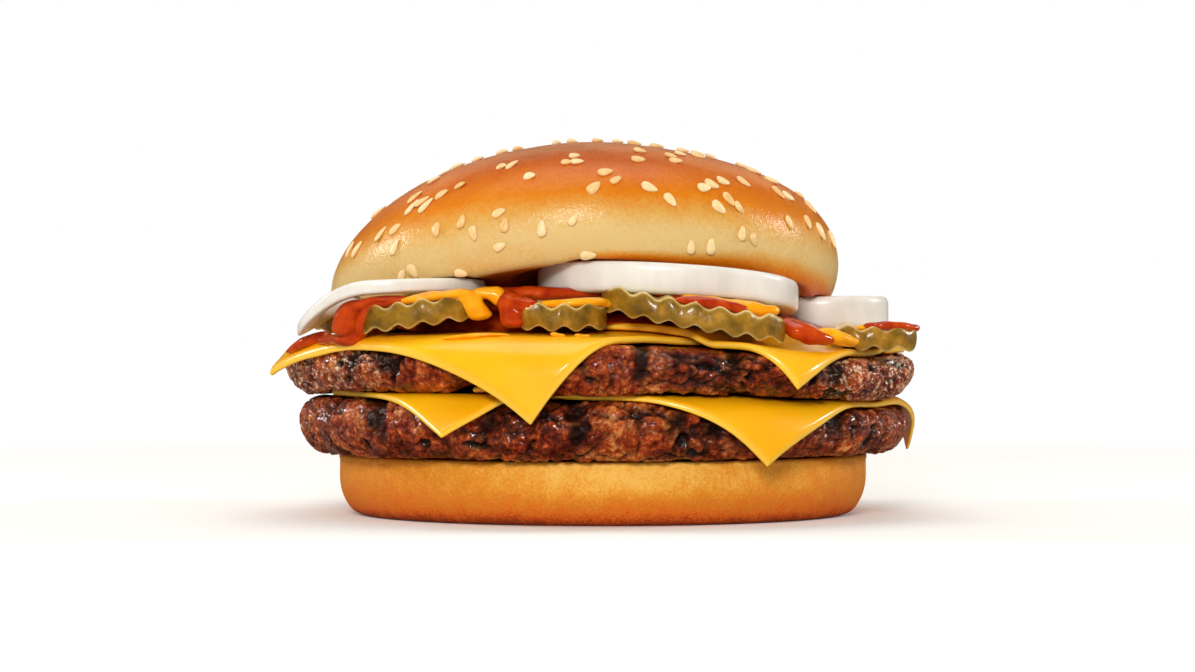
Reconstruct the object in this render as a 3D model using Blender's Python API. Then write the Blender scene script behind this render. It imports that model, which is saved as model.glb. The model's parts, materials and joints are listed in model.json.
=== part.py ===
# Double cheeseburger: a sesame bun, two grilled patties, four square cheese slices,
# crinkle-cut pickles, onion rings, ketchup and mustard, stacked as served.
# Lengths below are millimetres and angles degrees; MM turns them into metres.
# +Z is up, the front is towards -Y, and the origin is under the middle of the buns, on the table;
# at the end the whole stack is moved so that its own middle is over the origin.
# Directions round the stack are measured from +X, anticlockwise seen from above, so the front is 270.
# The pieces are made from the bottom up, and each one is then eased off the pieces under it.

import math

import bmesh
import bpy
import numpy as np
from mathutils import Vector
from mathutils.bvhtree import BVHTree

MM = 0.001
GAP = 0.3  # left between pieces that touch

# Bun heel
HEEL_RADIUS = 52.6
HEEL_CONTACT_RADIUS = 47.0
HEEL_HEIGHT = 12.0
HEEL_FOOT_ROUNDING = 6.5
HEEL_TOP_ROUNDING = 0.8

# Patties: radius, depth of the rounded edge, and the heights of their faces
LOWER_PATTY_RADIUS = 59.8
UPPER_PATTY_RADIUS = 62.2
PATTY_EDGE = 4.8
LOWER_PATTY_FLOOR = HEEL_HEIGHT + GAP
LOWER_PATTY_MIDDLE_TOP = 23.4
UPPER_PATTY_MIDDLE_TOP = 35.0
# Height of each patty's top near its rim, by direction: the patties are uneven
LOWER_RIM_TOP = {0: 22.4, 35: 23.0, 90: 23.2, 180: 23.3, 240: 23.1, 270: 23.1, 295: 22.6,
                 315: 21.6, 335: 21.2}
UPPER_RIM_TOP = {0: 32.2, 35: 33.0, 90: 33.8, 150: 33.6, 180: 33.0, 200: 33.5, 225: 33.7,
                 250: 33.7, 277: 33.4, 293: 32.3, 310: 31.0, 330: 30.7, 345: 31.2}

# Cheese: thickness, and the four corners of each slice laid out flat, front corner first and then
# anticlockwise; the slices are about 88 square, a little stretched out of shape
LOWER_CHEESE = 1.1
UPPER_CHEESE = 1.4
LOWER_LEFT_SLICE = ((-29.9, -62.3), (42.0, -15.5), (-30.0, 60.0), (-57.5, -14.0))
LOWER_RIGHT_SLICE = ((33.8, -60.4), (68.5, 12.0), (-8.0, 46.0), (-24.0, -51.0))
UPPER_LEFT_SLICE = ((-16.4, -73.2), (49.0, -17.0), (-2.0, 44.0), (-66.5, -19.0))
UPPER_RIGHT_SLICE = ((39.8, -54.3), (60.5, 24.0), (-4.0, 67.0), (-38.0, -24.0))
SLICE_LIFT = 6.0  # distance over which a patty settles past a slice's edge
BEND_RADIUS = 6.4
# How steeply the overhanging cheese hangs, by direction
LOWER_DROOP = {13: 88, 40: 60, 90: 60, 116: 72, 145: 40, 205: 36, 244: 34, 262: 50, 281: 80,
               297: 86, 318: 60, 333: 34, 350: 70}
UPPER_DROOP = {0: 20, 28: 45, 60: 60, 93: 80, 125: 50, 160: 40, 182: 50, 205: 42, 225: 74,
               240: 82, 259: 86, 280: 80, 307: 76, 325: 40, 340: 14}

# Crown: profile of the domed half of the bun, and how it sits
CROWN_RADIUS = 50.9
CROWN_CUT_RADIUS = 46.5
CROWN_HEIGHT = 27.6
CROWN_WIDEST_HEIGHT = 8.0
CROWN_ROUNDNESS = 2.25
CROWN_MIDDLE = (-3.7, 0.0, 44.4)
CROWN_TILT_BACK = 5.5
CROWN_ROLL = 1.6
CROWN_SAG = 2.2  # how far the cut face sinks 30 mm from the middle line

# Pickles: crinkle-cut slices
PICKLE_THICKNESS = 4.4
CRINKLE_PITCH = 4.6
CRINKLE_DEPTH = 0.7
# (middle x, middle y, middle z, half width, half depth, tilt down to the right, tilt down to the front)
PICKLES = {
    "pickle_left": (-30.6, -38.5, 40.0, 11.0, 11.5, -3.0, 0.0),
    "pickle_middle": (-6.8, -46.0, 38.4, 7.6, 10.0, 0.0, 4.0),
    "pickle_right": (18.6, -43.5, 38.7, 17.2, 12.5, 8.0, 3.0),
    "pickle_far_right": (51.8, -26.0, 35.8, 9.4, 8.0, 8.0, 3.0),
    "pickle_far_left": (-50.4, -14.0, 38.4, 6.2, 7.5, -4.0, 0.0),
    "pickle_back_left": (-28.0, 42.0, 38.0, 12.5, 9.0, -2.0, -4.0),
    "pickle_back_right": (20.0, 43.0, 38.0, 14.0, 9.0, 3.0, -4.0),
}

# Onion rings: (middle x, middle y, top z at the middle, half width, half depth, height,
# tilt down to the right, tilt down to the back)
ONION_WALL = 4.6
ONION_STEPS = 26
# Corners of the band's section: share of the wall's depth inwards, share of its height
ONION_SECTION = ((0.0, 0.0), (0.0, 0.85), (0.15, 1.0), (0.9, 1.0), (1.0, 0.0))
ONIONS = {
    "onion_left": (-37.5, -30.0, 44.6, 20.8, 17.0, 2.6, -3.0, 3.4),
    "onion_right": (12.4, -27.0, 46.8, 25.0, 23.5, 5.1, 3.3, 5.0),
    "onion_far_right": (43.6, -2.5, 42.8, 13.2, 12.5, 4.6, -1.0, 1.0),
    "onion_back": (-6.0, 29.0, 43.0, 23.0, 17.0, 3.0, 1.0, 4.0),
}
ONION_DROOP_FROM = -44.0  # the left ring bends down past this x
ONION_DROOP = 0.032  # and sinks by this times the square of the distance

# Sauce: (middle x, middle y, half width, half depth, bottom z, height of the dollop)
KETCHUP = {
    "ketchup_left": (-46.1, -36.5, 4.0, 7.0, 36.8, 5.6),
    "ketchup_middle": (-17.0, -43.0, 2.3, 6.5, 36.4, 6.0),
    "ketchup_right": (38.9, -40.5, 2.9, 6.0, 34.6, 2.8),
    "ketchup_back": (-4.0, 48.5, 6.0, 4.0, 36.0, 3.0),
}
MUSTARD = {
    "mustard_left": (-21.8, -48.2, 2.6, 2.2, 36.2, 7.0),
    "mustard_back": (39.5, 36.0, 4.5, 5.0, 36.0, 3.0),
}

# Mesh steps
TURNED_STEPS = 36
SLICE_CELLS = 12
SLICE_CROWDING = 0.7  # under 1 puts more of a slice's cells near its edges
SETTLING_PASSES = 14
SAMPLE_SPACING = 1.5
REACH = 2.5  # how far a settling piece looks for its neighbours
PROBE = Vector((0.31, 0.17, 0.94))  # direction of the rays that tell inside from outside


def eased(x):
    """0 to 1 with level ends."""
    x = np.clip(x, 0.0, 1.0)
    return x * x * (3.0 - 2.0 * x)


def around(table, direction):
    """The value of a table of directions at a direction, eased from one entry to the next."""
    angles = np.array(sorted(table), float)
    values = np.array([table[a] for a in sorted(table)], float)
    direction = np.asarray(direction, float) % 360.0
    upper = np.searchsorted(angles, direction, side="right") % len(angles)
    lower = upper - 1
    span = (angles[upper] - angles[lower]) % 360.0
    share = ((direction - angles[lower]) % 360.0) / span
    return values[lower] + (values[upper] - values[lower]) * eased(share)


def direction_of(x, y):
    return np.degrees(np.arctan2(y, x)) % 360.0


def patty_outline(radius, direction, phase):
    """Radius of a hand-formed patty by direction: a circle with a few shallow waves."""
    a = np.radians(direction + phase)
    return radius + 0.55 * np.sin(2.0 * a) + 0.45 * np.sin(3.0 * a + 0.8) + 0.35 * np.sin(7.0 * a + 2.0)


def lower_outline(direction):
    return patty_outline(LOWER_PATTY_RADIUS, direction, 20.0)


def upper_outline(direction):
    return patty_outline(UPPER_PATTY_RADIUS, direction, 75.0)


def slice_share(corners, x, y):
    """1 where the flat slice lies, falling to 0 over SLICE_LIFT past its edges."""
    outside = np.full(np.shape(x), -1e9)
    for (ax, ay), (bx, by) in zip(corners, corners[1:] + corners[:1]):
        length = math.hypot(bx - ax, by - ay)
        outside = np.maximum(outside, ((by - ay) * (x - ax) - (bx - ax) * (y - ay)) / length)
    return 1.0 - eased(outside / SLICE_LIFT)


def patty_top(x, y, middle, rim_table, radius):
    """Top face of a patty: level in the middle, and at the table's height near the rim."""
    share = eased((np.hypot(x, y) / radius - 0.45) / 0.5)
    return middle + (around(rim_table, direction_of(x, y)) - middle) * share


def lower_top(x, y):
    return patty_top(x, y, LOWER_PATTY_MIDDLE_TOP, LOWER_RIM_TOP, LOWER_PATTY_RADIUS)


def upper_top(x, y):
    return patty_top(x, y, UPPER_PATTY_MIDDLE_TOP, UPPER_RIM_TOP, UPPER_PATTY_RADIUS)


def upper_floor(x, y):
    """Underside of the upper patty: it settles over the two lower slices."""
    slices = slice_share(LOWER_LEFT_SLICE, x, y) + slice_share(LOWER_RIGHT_SLICE, x, y)
    return lower_top(x, y) + GAP + (LOWER_CHEESE + GAP) * slices


def draped(x, y, lift, top, outline, droop_table):
    """Where a flat sheet's points go over a patty: level on top, then round a bend past the rim
    and straight down the slope that the table gives for that direction."""
    radius, direction = np.hypot(x, y), direction_of(x, y)
    start = outline(direction) - PATTY_EDGE
    past = np.maximum(radius - start, 0.0)
    bend = BEND_RADIUS + lift
    slope = np.radians(around(droop_table, direction))
    turned = np.minimum(past / bend, slope)
    straight = np.maximum(past - bend * slope, 0.0)
    out = bend * np.sin(turned) + straight * np.cos(slope)
    down = bend * (1.0 - np.cos(turned)) + straight * np.sin(slope)
    inside = np.minimum(radius, start)
    scale = (inside + out) / np.maximum(radius, 1e-6)
    hold = inside / np.maximum(radius, 1e-6)
    return x * scale, y * scale, top(x * hold, y * hold) + lift - down


def material(name, colour, roughness):
    made = bpy.data.materials.new(name)
    made.use_nodes = True
    shader = made.node_tree.nodes["Principled BSDF"]
    shader.inputs["Base Color"].default_value = (*colour, 1.0)
    shader.inputs["Roughness"].default_value = roughness
    shader.inputs["Metallic"].default_value = 0.0
    return made


def sampled(verts, faces):
    """Points over a mesh, each with the corners it lies between: the corners themselves, points
    along every edge and the middles of the faces."""
    points = [(vert, (i,)) for i, vert in enumerate(verts)]
    for i, j in sorted({tuple(sorted(pair)) for f in faces for pair in zip(f, f[1:] + f[:1])}):
        steps = max(2, round((verts[j] - verts[i]).length / SAMPLE_SPACING))
        points += [(verts[i].lerp(verts[j], step / steps), (i, j)) for step in range(1, steps)]
    return points + [(sum((verts[i] for i in face), Vector()) / 3, face) for face in faces]


def is_inside(point, tree):
    """Whether a ray from the point crosses the surfaces an odd number of times."""
    crossings = 0
    hit = tree.ray_cast(point, PROBE)[0]
    while hit is not None:
        crossings += 1
        hit = tree.ray_cast(hit + PROBE * 0.0001, PROBE)[0]
    return crossings % 2 == 1


def shortfall(point, tree):
    """How far and which way a point must go to be GAP outside a closed surface."""
    hit, normal, index, distance = tree.find_nearest(point, REACH)
    if hit is None:
        return 0.0, None, None
    inside = (point - hit).dot(normal) < 0.0 and is_inside(point, tree)
    if not inside and distance >= GAP:
        return 0.0, None, None
    way = normal if distance < 0.03 else (point - hit) * ((-1.0 if inside else 1.0) / distance)
    return GAP + (distance if inside else -distance), way, index


def joined_tree(pieces):
    """One search tree over several closed pieces."""
    verts, faces = [], []
    for other_verts, other_faces in pieces:
        faces += [tuple(i + len(verts) for i in face) for face in other_faces]
        verts += other_verts
    return BVHTree.FromPolygons(verts, faces)


def raise_over(verts, columns, tree):
    """Lifts each column of corners whose lowest corner is under the top of the pieces below."""
    for column in columns:
        lowest = verts[column[0]]
        hit = tree.ray_cast(Vector((lowest.x, lowest.y, 100.0)), Vector((0.0, 0.0, -1.0)))[0]
        if hit is not None and hit.z + GAP > lowest.z:
            lift = Vector((0.0, 0.0, hit.z + GAP - lowest.z))
            for i in column:
                verts[i] = verts[i] + lift


def settle(verts, faces, columns, below):
    """Eases a piece off the pieces below it, pass by pass, until GAP is left everywhere. A corner
    takes the longest push asked of it or of a corner in its column."""
    below_points = [point for piece in below for point, _ in sampled(*piece)]
    tree = joined_tree(below)
    column_of = {i: column for column in columns for i in column}
    for _ in range(SETTLING_PASSES):
        pushes = {}

        def ask(span, amount, way):
            for i in {j for k in span for j in column_of[k]}:
                if amount > pushes.get(i, (0.0, None))[0]:
                    pushes[i] = (amount, way)
        for point, span in sampled(verts, faces):
            short, way, _ = shortfall(point, tree)
            if short > 0.002:
                ask(span, short, way)
        own = BVHTree.FromPolygons(verts, faces)
        for point in below_points:
            short, way, index = shortfall(point, own)
            if short > 0.002:
                ask(faces[index], short, -way)
        if not pushes:
            return
        for i, (amount, way) in pushes.items():
            verts[i] = verts[i] + way * amount


class Stack:
    """The pieces made so far, as lists of corners and triangles in millimetres."""

    def __init__(self):
        self.pieces = {}
        self.finishes = {}

    def add(self, name, bm, finish, layers=1, over=(), beside=()):
        """Adds a bmesh, lifted over some of the pieces and eased off all it meets. Where the bmesh
        is made in layers, the corners of a column keep their distances."""
        bmesh.ops.recalc_face_normals(bm, faces=bm.faces)
        bmesh.ops.triangulate(bm, faces=bm.faces)
        bm.verts.index_update()
        verts = [v.co.copy() for v in bm.verts]
        faces = [tuple(v.index for v in f.verts) for f in bm.faces]
        bm.free()
        each = len(verts) // layers
        columns = [[i + each * layer for layer in range(layers)] for i in range(each)]
        if over:
            raise_over(verts, columns, joined_tree([self.pieces[other] for other in over]))
        if over or beside:
            settle(verts, faces, columns, [self.pieces[other] for other in (*over, *beside)])
        self.pieces[name] = (verts, faces)
        self.finishes[name] = finish

    def make_objects(self):
        """Turns the pieces into objects in metres, with the whole stack centred on the origin."""
        every = np.array([v for verts, _ in self.pieces.values() for v in verts])
        middle = (every.min(axis=0) + every.max(axis=0)) / 2
        shift = np.array([middle[0], middle[1], 0.0])
        for name, (verts, faces) in self.pieces.items():
            mesh = bpy.data.meshes.new(name)
            mesh.from_pydata((np.array(verts) - shift) * MM, [], faces)
            mesh.shade_smooth()
            mesh.set_sharp_from_angle(angle=math.radians(50))
            mesh.materials.append(self.finishes[name])
            bpy.context.scene.collection.objects.link(bpy.data.objects.new(name, mesh))


def turned_solid(profile, steps=TURNED_STEPS):
    """A bmesh spun from (radius, height) points that start and end on the axis."""
    bm = bmesh.new()
    verts = [bm.verts.new((r, 0.0, z)) for r, z in profile]
    edges = [bm.edges.new(pair) for pair in zip(verts, verts[1:])]
    bmesh.ops.spin(bm, geom=verts + edges, cent=(0, 0, 0), axis=(0, 0, 1), angle=math.tau, steps=steps)
    bmesh.ops.remove_doubles(bm, verts=bm.verts, dist=0.001)
    return bm


def reshape(bm, move):
    """Moves every vertex by a function of arrays x, y, z."""
    points = np.array([v.co for v in bm.verts])
    for v, co in zip(bm.verts, np.stack(move(points[:, 0], points[:, 1], points[:, 2]), axis=1)):
        v.co = co


def sheet_solid(columns, rows, floor, ceiling):
    """A closed slab over a grid of shares u and v from -1 to 1: floor and ceiling give the points
    of its lower and upper faces. The upper corners follow the lower ones in the same order."""
    u, v = np.meshgrid(np.linspace(-1, 1, columns + 1), np.linspace(-1, 1, rows + 1))
    bm = bmesh.new()
    layers = []
    for face in (floor, ceiling):
        points = np.stack(face(u.ravel(), v.ravel()), axis=1)
        layers.append([bm.verts.new(co) for co in points])
    lower, upper = layers
    wide = columns + 1
    for row in range(rows):
        for column in range(columns):
            i = row * wide + column
            bm.faces.new((lower[i], lower[i + wide], lower[i + wide + 1], lower[i + 1]))
            bm.faces.new((upper[i], upper[i + 1], upper[i + wide + 1], upper[i + wide]))
    last = rows * wide
    border = list(range(wide)) + [row * wide + columns for row in range(1, rows)]
    border += list(range(last + columns, last - 1, -1)) + [row * wide for row in range(rows - 1, 0, -1)]
    for i, j in zip(border, border[1:] + border[:1]):
        bm.faces.new((lower[i], lower[j], upper[j], upper[i]))
    return bm


def heel_profile():
    """Flat foot, rounded lower edge, nearly upright side, and a flat cut face."""
    points = [(0.0, 0.0), (HEEL_CONTACT_RADIUS, 0.0)]
    side = HEEL_RADIUS - HEEL_CONTACT_RADIUS
    for step in range(1, 5):
        a = step / 4 * math.pi / 2
        points.append((HEEL_CONTACT_RADIUS + side * math.sin(a), HEEL_FOOT_ROUNDING * (1 - math.cos(a))))
    points.append((HEEL_RADIUS + 0.1, HEEL_HEIGHT - HEEL_TOP_ROUNDING))
    points.append((HEEL_RADIUS - HEEL_TOP_ROUNDING, HEEL_HEIGHT))
    points.append((0.0, HEEL_HEIGHT))
    return points


def patty(outline, floor, top):
    """A patty: flat faces to the start of its edge, then a half-round edge out to its outline."""
    profile = [(0.0, -1.0), (0.45, -1.0), (0.78, -1.0)]
    for step in range(8):
        a = (step / 7 - 0.5) * math.pi
        profile.append((1.0 + math.cos(a), math.sin(a)))
    profile += [(0.78, 1.0), (0.45, 1.0), (0.0, 1.0)]

    def shape(x, y, z):
        share, direction = np.hypot(x, y), direction_of(x, y)
        flat = outline(direction) - PATTY_EDGE
        held = np.minimum(share, 1.0) * flat
        radius = held + np.maximum(share - 1.0, 0.0) * PATTY_EDGE
        a = np.radians(direction)
        low, high = (face(held * np.cos(a), held * np.sin(a)) for face in (floor, top))
        return radius * np.cos(a), radius * np.sin(a), (low + high) / 2 + (high - low) / 2 * z
    bm = turned_solid(profile)
    reshape(bm, shape)
    return bm


def slice_of_cheese(corners, thickness, lift, top, outline, droop_table):
    """A slice laid flat on a patty, its corners bent down past the rim."""
    front, right, back, left = (np.array(corner) for corner in corners)

    def face(extra):
        def points(u, v):
            s = (np.sign(u) * np.abs(u) ** SLICE_CROWDING + 1.0)[:, None] / 2
            t = (np.sign(v) * np.abs(v) ** SLICE_CROWDING + 1.0)[:, None] / 2
            flat = (front * (1 - s) + right * s) * (1 - t) + (left * (1 - s) + back * s) * t
            x, y = flat[:, 0], flat[:, 1]
            return draped(x, y, lift(x, y) + extra, top, outline, droop_table)
        return points
    return sheet_solid(SLICE_CELLS, SLICE_CELLS, face(0.0), face(thickness))


def oval(u, v, middle_x, middle_y, half_width, half_depth):
    """Maps a square of shares to an oval, with the columns kept parallel."""
    u = 0.985 * u
    return middle_x + half_width * u, middle_y + half_depth * v * np.sqrt(1.0 - u * u)


def pickle_height(spec, x, y):
    """Height of a pickle's middle plane, with its crinkles running front to back."""
    mx, my, mz, _, _, right, front = spec
    tilt = -math.tan(math.radians(right)) * (x - mx) + math.tan(math.radians(front)) * (y - my)
    return mz + tilt + CRINKLE_DEPTH * np.cos(math.tau * (x - mx) / CRINKLE_PITCH)


def pickle(spec):
    columns = round(2 * spec[3] / CRINKLE_PITCH * 6)

    def face(side):
        def points(u, v):
            x, y = oval(u, v, spec[0], spec[1], spec[3], spec[4])
            return x, y, pickle_height(spec, x, y) + side * PICKLE_THICKNESS / 2
        return points
    return sheet_solid(columns, 1, face(-1.0), face(1.0))


def dollop(spec):
    """A dollop of sauce: an oval drop with a flat base."""
    mx, my, half_width, half_depth, low, height = spec

    def floor(u, v):
        x, y = oval(u, v, mx, my, half_width, half_depth)
        return x, y, low + 0.0 * x

    def ceiling(u, v):
        x, y = oval(u, v, mx, my, half_width, half_depth)
        share = np.clip(((x - mx) / half_width) ** 2 + ((y - my) / half_depth) ** 2, 0.0, 1.0)
        return x, y, low + height * (0.15 + 0.85 * np.sqrt(1.0 - share))
    return sheet_solid(6, 4, floor, ceiling)


def onion_top(spec, x, y):
    mx, my, mz, _, _, _, right, back = spec
    z = mz - math.tan(math.radians(right)) * (x - mx) - math.tan(math.radians(back)) * (y - my)
    return z - ONION_DROOP * np.maximum(ONION_DROOP_FROM - x, 0.0) ** 2


def onion(spec):
    """An onion ring: an oval band of upright walls, bent where it hangs."""
    mx, my, _, half_width, half_depth, height, _, _ = spec
    angles = np.linspace(0.0, math.tau, ONION_STEPS, endpoint=False)
    bm = bmesh.new()
    rings = []
    for inward, up in ONION_SECTION:
        x = mx + (half_width - ONION_WALL * inward) * np.cos(angles)
        y = my + (half_depth - ONION_WALL * inward) * np.sin(angles)
        z = onion_top(spec, x, y) - height * (1.0 - up)
        rings.append([bm.verts.new(co) for co in zip(x, y, z)])
    for here, after in zip(rings, rings[1:] + rings[:1]):
        for i in range(ONION_STEPS):
            j = (i + 1) % ONION_STEPS
            bm.faces.new((here[i], here[j], after[j], after[i]))
    return bm


def crown_profile():
    """(radius, height) from the middle of the cut face, round the rim and up to the top."""
    points = [(0.0, 0.0), (12.0, 0.0), (24.0, 0.0), (35.0, 0.0), (CROWN_CUT_RADIUS, 0.0)]
    for share in (0.12, 0.5):
        bulge = (CROWN_RADIUS - CROWN_CUT_RADIUS) * math.sin(share * math.pi / 2) ** 0.6
        points.append((CROWN_CUT_RADIUS + bulge, CROWN_WIDEST_HEIGHT * share))
    dome = CROWN_HEIGHT - CROWN_WIDEST_HEIGHT
    for step in range(9):
        a = step / 8 * math.pi / 2
        r = CROWN_RADIUS * math.cos(a) ** (2 / CROWN_ROUNDNESS) if step < 8 else 0.0
        points.append((r, CROWN_WIDEST_HEIGHT + dome * math.sin(a) ** (2 / CROWN_ROUNDNESS)))
    return points


def placed_crown(x, y, z):
    """Leans the crown back and rolls it, then lets its lower part sag to both sides of the onion
    that props it."""
    back, roll = math.radians(CROWN_TILT_BACK), math.radians(CROWN_ROLL)
    x1, z1 = x * math.cos(roll) - z * math.sin(roll), x * math.sin(roll) + z * math.cos(roll)
    y2, z2 = y * math.cos(back) + z1 * math.sin(back), -y * math.sin(back) + z1 * math.cos(back)
    wx, wy, wz = CROWN_MIDDLE[0] + x1, CROWN_MIDDLE[1] + y2, CROWN_MIDDLE[2] + z2
    sag = CROWN_SAG * (np.abs(wx + 1.0) / 30.0) ** 1.8
    return wx, wy, wz - sag * (1.0 - z / CROWN_HEIGHT)


def build():
    for old in list(bpy.data.objects):
        bpy.data.objects.remove(old, do_unlink=True)

    crust = material("golden_crust", (0.72, 0.38, 0.10), 0.45)
    beef = material("grilled_beef", (0.16, 0.06, 0.03), 0.5)
    cheddar = material("sliced_cheese", (0.98, 0.56, 0.04), 0.35)
    pickled = material("pickled_cucumber", (0.30, 0.22, 0.03), 0.3)
    raw_onion = material("raw_onion", (0.88, 0.86, 0.80), 0.4)
    ketchup = material("ketchup", (0.55, 0.05, 0.01), 0.25)
    mustard = material("mustard", (0.98, 0.58, 0.02), 0.3)

    def level_floor(x, y):
        return LOWER_PATTY_FLOOR + 0.0 * x

    def on_patty(x, y):
        return GAP + 0.0 * x

    def over_lower_slice(x, y):
        return GAP + (LOWER_CHEESE + GAP) * slice_share(LOWER_LEFT_SLICE, x, y)

    def over_upper_slice(x, y):
        return GAP + (UPPER_CHEESE + GAP) * slice_share(UPPER_LEFT_SLICE, x, y)

    stack = Stack()
    stack.add("bun_heel", turned_solid(heel_profile()), crust)
    stack.add("patty_lower", patty(lower_outline, level_floor, lower_top), beef)
    lower = (lower_top, lower_outline, LOWER_DROOP)
    upper = (upper_top, upper_outline, UPPER_DROOP)
    stack.add(
        "cheese_lower_left", slice_of_cheese(LOWER_LEFT_SLICE, LOWER_CHEESE, on_patty, *lower),
        cheddar, layers=2, beside=("patty_lower",),
    )
    stack.add(
        "cheese_lower_right", slice_of_cheese(LOWER_RIGHT_SLICE, LOWER_CHEESE, over_lower_slice, *lower),
        cheddar, layers=2, beside=("patty_lower", "cheese_lower_left"),
    )
    lower_cheese = ("cheese_lower_left", "cheese_lower_right")
    stack.add("patty_upper", patty(upper_outline, upper_floor, upper_top), beef, beside=lower_cheese)
    stack.add(
        "cheese_upper_left", slice_of_cheese(UPPER_LEFT_SLICE, UPPER_CHEESE, on_patty, *upper),
        cheddar, layers=2, beside=("patty_upper", *lower_cheese),
    )
    stack.add(
        "cheese_upper_right", slice_of_cheese(UPPER_RIGHT_SLICE, UPPER_CHEESE, over_upper_slice, *upper),
        cheddar, layers=2, beside=("patty_upper", "cheese_upper_left"),
    )

    upper_cheese = ("cheese_upper_left", "cheese_upper_right")
    placed = []
    for name, spec in PICKLES.items():
        stack.add(name, pickle(spec), pickled, layers=2, over=upper_cheese, beside=placed)
        placed.append(name)
    for sauces, finish in ((KETCHUP, ketchup), (MUSTARD, mustard)):
        for name, spec in sauces.items():
            stack.add(name, dollop(spec), finish, over=upper_cheese, beside=placed)
            placed.append(name)
    for name, spec in ONIONS.items():
        stack.add(name, onion(spec), raw_onion, layers=len(ONION_SECTION), over=(*upper_cheese, *placed))
        placed.append(name)
    bun = turned_solid(crown_profile(), steps=38)
    reshape(bun, placed_crown)
    stack.add("bun_crown", bun, crust, over=placed)
    stack.make_objects()


build()
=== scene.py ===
# Double cheeseburger: the looks of each piece, in the order in which they are stacked.
# Sizes are millimetres and angles degrees. x, y and z are measured from the foot of the buns' axis,
# with +z up and the front at -y, and directions round the axis are counted from +x.

import json
import math

import bpy
import numpy as np
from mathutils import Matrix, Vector

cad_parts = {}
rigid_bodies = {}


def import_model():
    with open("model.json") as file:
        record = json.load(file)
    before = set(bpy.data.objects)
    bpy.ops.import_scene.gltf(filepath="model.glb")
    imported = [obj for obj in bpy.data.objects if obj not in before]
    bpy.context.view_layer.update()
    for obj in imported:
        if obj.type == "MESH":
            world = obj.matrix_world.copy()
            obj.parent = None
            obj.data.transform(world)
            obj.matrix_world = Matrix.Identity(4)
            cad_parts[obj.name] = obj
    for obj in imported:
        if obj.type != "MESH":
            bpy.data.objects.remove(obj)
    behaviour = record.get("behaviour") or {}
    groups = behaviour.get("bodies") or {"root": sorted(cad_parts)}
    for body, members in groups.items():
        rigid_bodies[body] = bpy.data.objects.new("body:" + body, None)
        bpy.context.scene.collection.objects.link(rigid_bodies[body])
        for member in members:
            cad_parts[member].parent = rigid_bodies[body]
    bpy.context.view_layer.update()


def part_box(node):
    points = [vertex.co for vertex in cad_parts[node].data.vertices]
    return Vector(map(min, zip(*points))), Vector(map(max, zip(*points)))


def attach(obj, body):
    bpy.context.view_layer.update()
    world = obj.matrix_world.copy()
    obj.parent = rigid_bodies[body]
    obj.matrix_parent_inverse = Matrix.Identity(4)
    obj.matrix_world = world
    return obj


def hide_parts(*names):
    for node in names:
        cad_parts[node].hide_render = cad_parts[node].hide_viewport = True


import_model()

# The set: a white table that melts into a white room, with soft lamps as for a menu picture: a
# large one above, smaller ones in front and to both sides, and a warm one behind for the rims.
# The camera looks level at the burger from half its height.
MM = 0.001
IMAGE_WIDTH = 1195
PIXELS_PER_MM = 5.0
CAMERA_SIDE = -1.1
CAMERA_DISTANCE = 650.0
CAMERA_HEIGHT = 35.2
SENSOR = 36.0
heel_low, heel_high = (np.array(corner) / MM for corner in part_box("bun_heel"))
BUNS_AXIS = (heel_low + heel_high) / 2.0 * (1.0, 1.0, 0.0)


def in_frame(points):
    """Millimetres from the foot of the buns' axis, turned into metres in the model's frame."""
    return (np.asarray(points) + BUNS_AXIS) * MM


def srgb(code):
    """A colour written as sRGB hex, in linear numbers with an alpha of 1."""
    parts = np.array([int(code[i:i + 2], 16) for i in (1, 3, 5)]) / 255.0
    linear = np.where(parts <= 0.04045, parts / 12.92, ((parts + 0.055) / 1.055) ** 2.4)
    return (*linear.tolist(), 1.0)


def put(tree, kind, inputs=None, stops=None, **settings):
    """Adds a node with its settings. inputs holds, by name or place, numbers, colours in hex,
    outputs to link, or nodes whose first output is linked, and stops a ramp's colours by position."""
    made = tree.nodes.new("ShaderNode" + kind)
    for name, value in settings.items():
        setattr(made, name, value)
    for key, value in (inputs or {}).items():
        if isinstance(value, bpy.types.Node):
            value = value.outputs[0]
        if isinstance(value, bpy.types.NodeSocket):
            tree.links.new(value, made.inputs[key])
        else:
            made.inputs[key].default_value = srgb(value) if isinstance(value, str) else value
    for i, (position, code) in enumerate(stops or ()):
        stop = made.color_ramp.elements[i] if i < 2 else made.color_ramp.elements.new(position)
        stop.position = position
        stop.color = srgb(code)
    return made


def fresh_material(name):
    """A material, its emptied tree, and the coordinates of the piece it is on."""
    made = bpy.data.materials.new(name)
    made.use_nodes = True
    made.node_tree.nodes.clear()
    return made, made.node_tree, put(made.node_tree, "TexCoord").outputs["Object"]


scene = bpy.context.scene
scene.view_settings.view_transform = "Standard"
camera_data = bpy.data.cameras.new("camera")
camera_data.sensor_width = SENSOR
camera_data.lens = SENSOR * CAMERA_DISTANCE / (IMAGE_WIDTH / PIXELS_PER_MM)
camera = bpy.data.objects.new("camera", camera_data)
camera.location = in_frame((CAMERA_SIDE, -CAMERA_DISTANCE, CAMERA_HEIGHT))
camera.rotation_euler = (math.radians(90.0), 0.0, 0.0)
scene.collection.objects.link(camera)
scene.camera = camera

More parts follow.
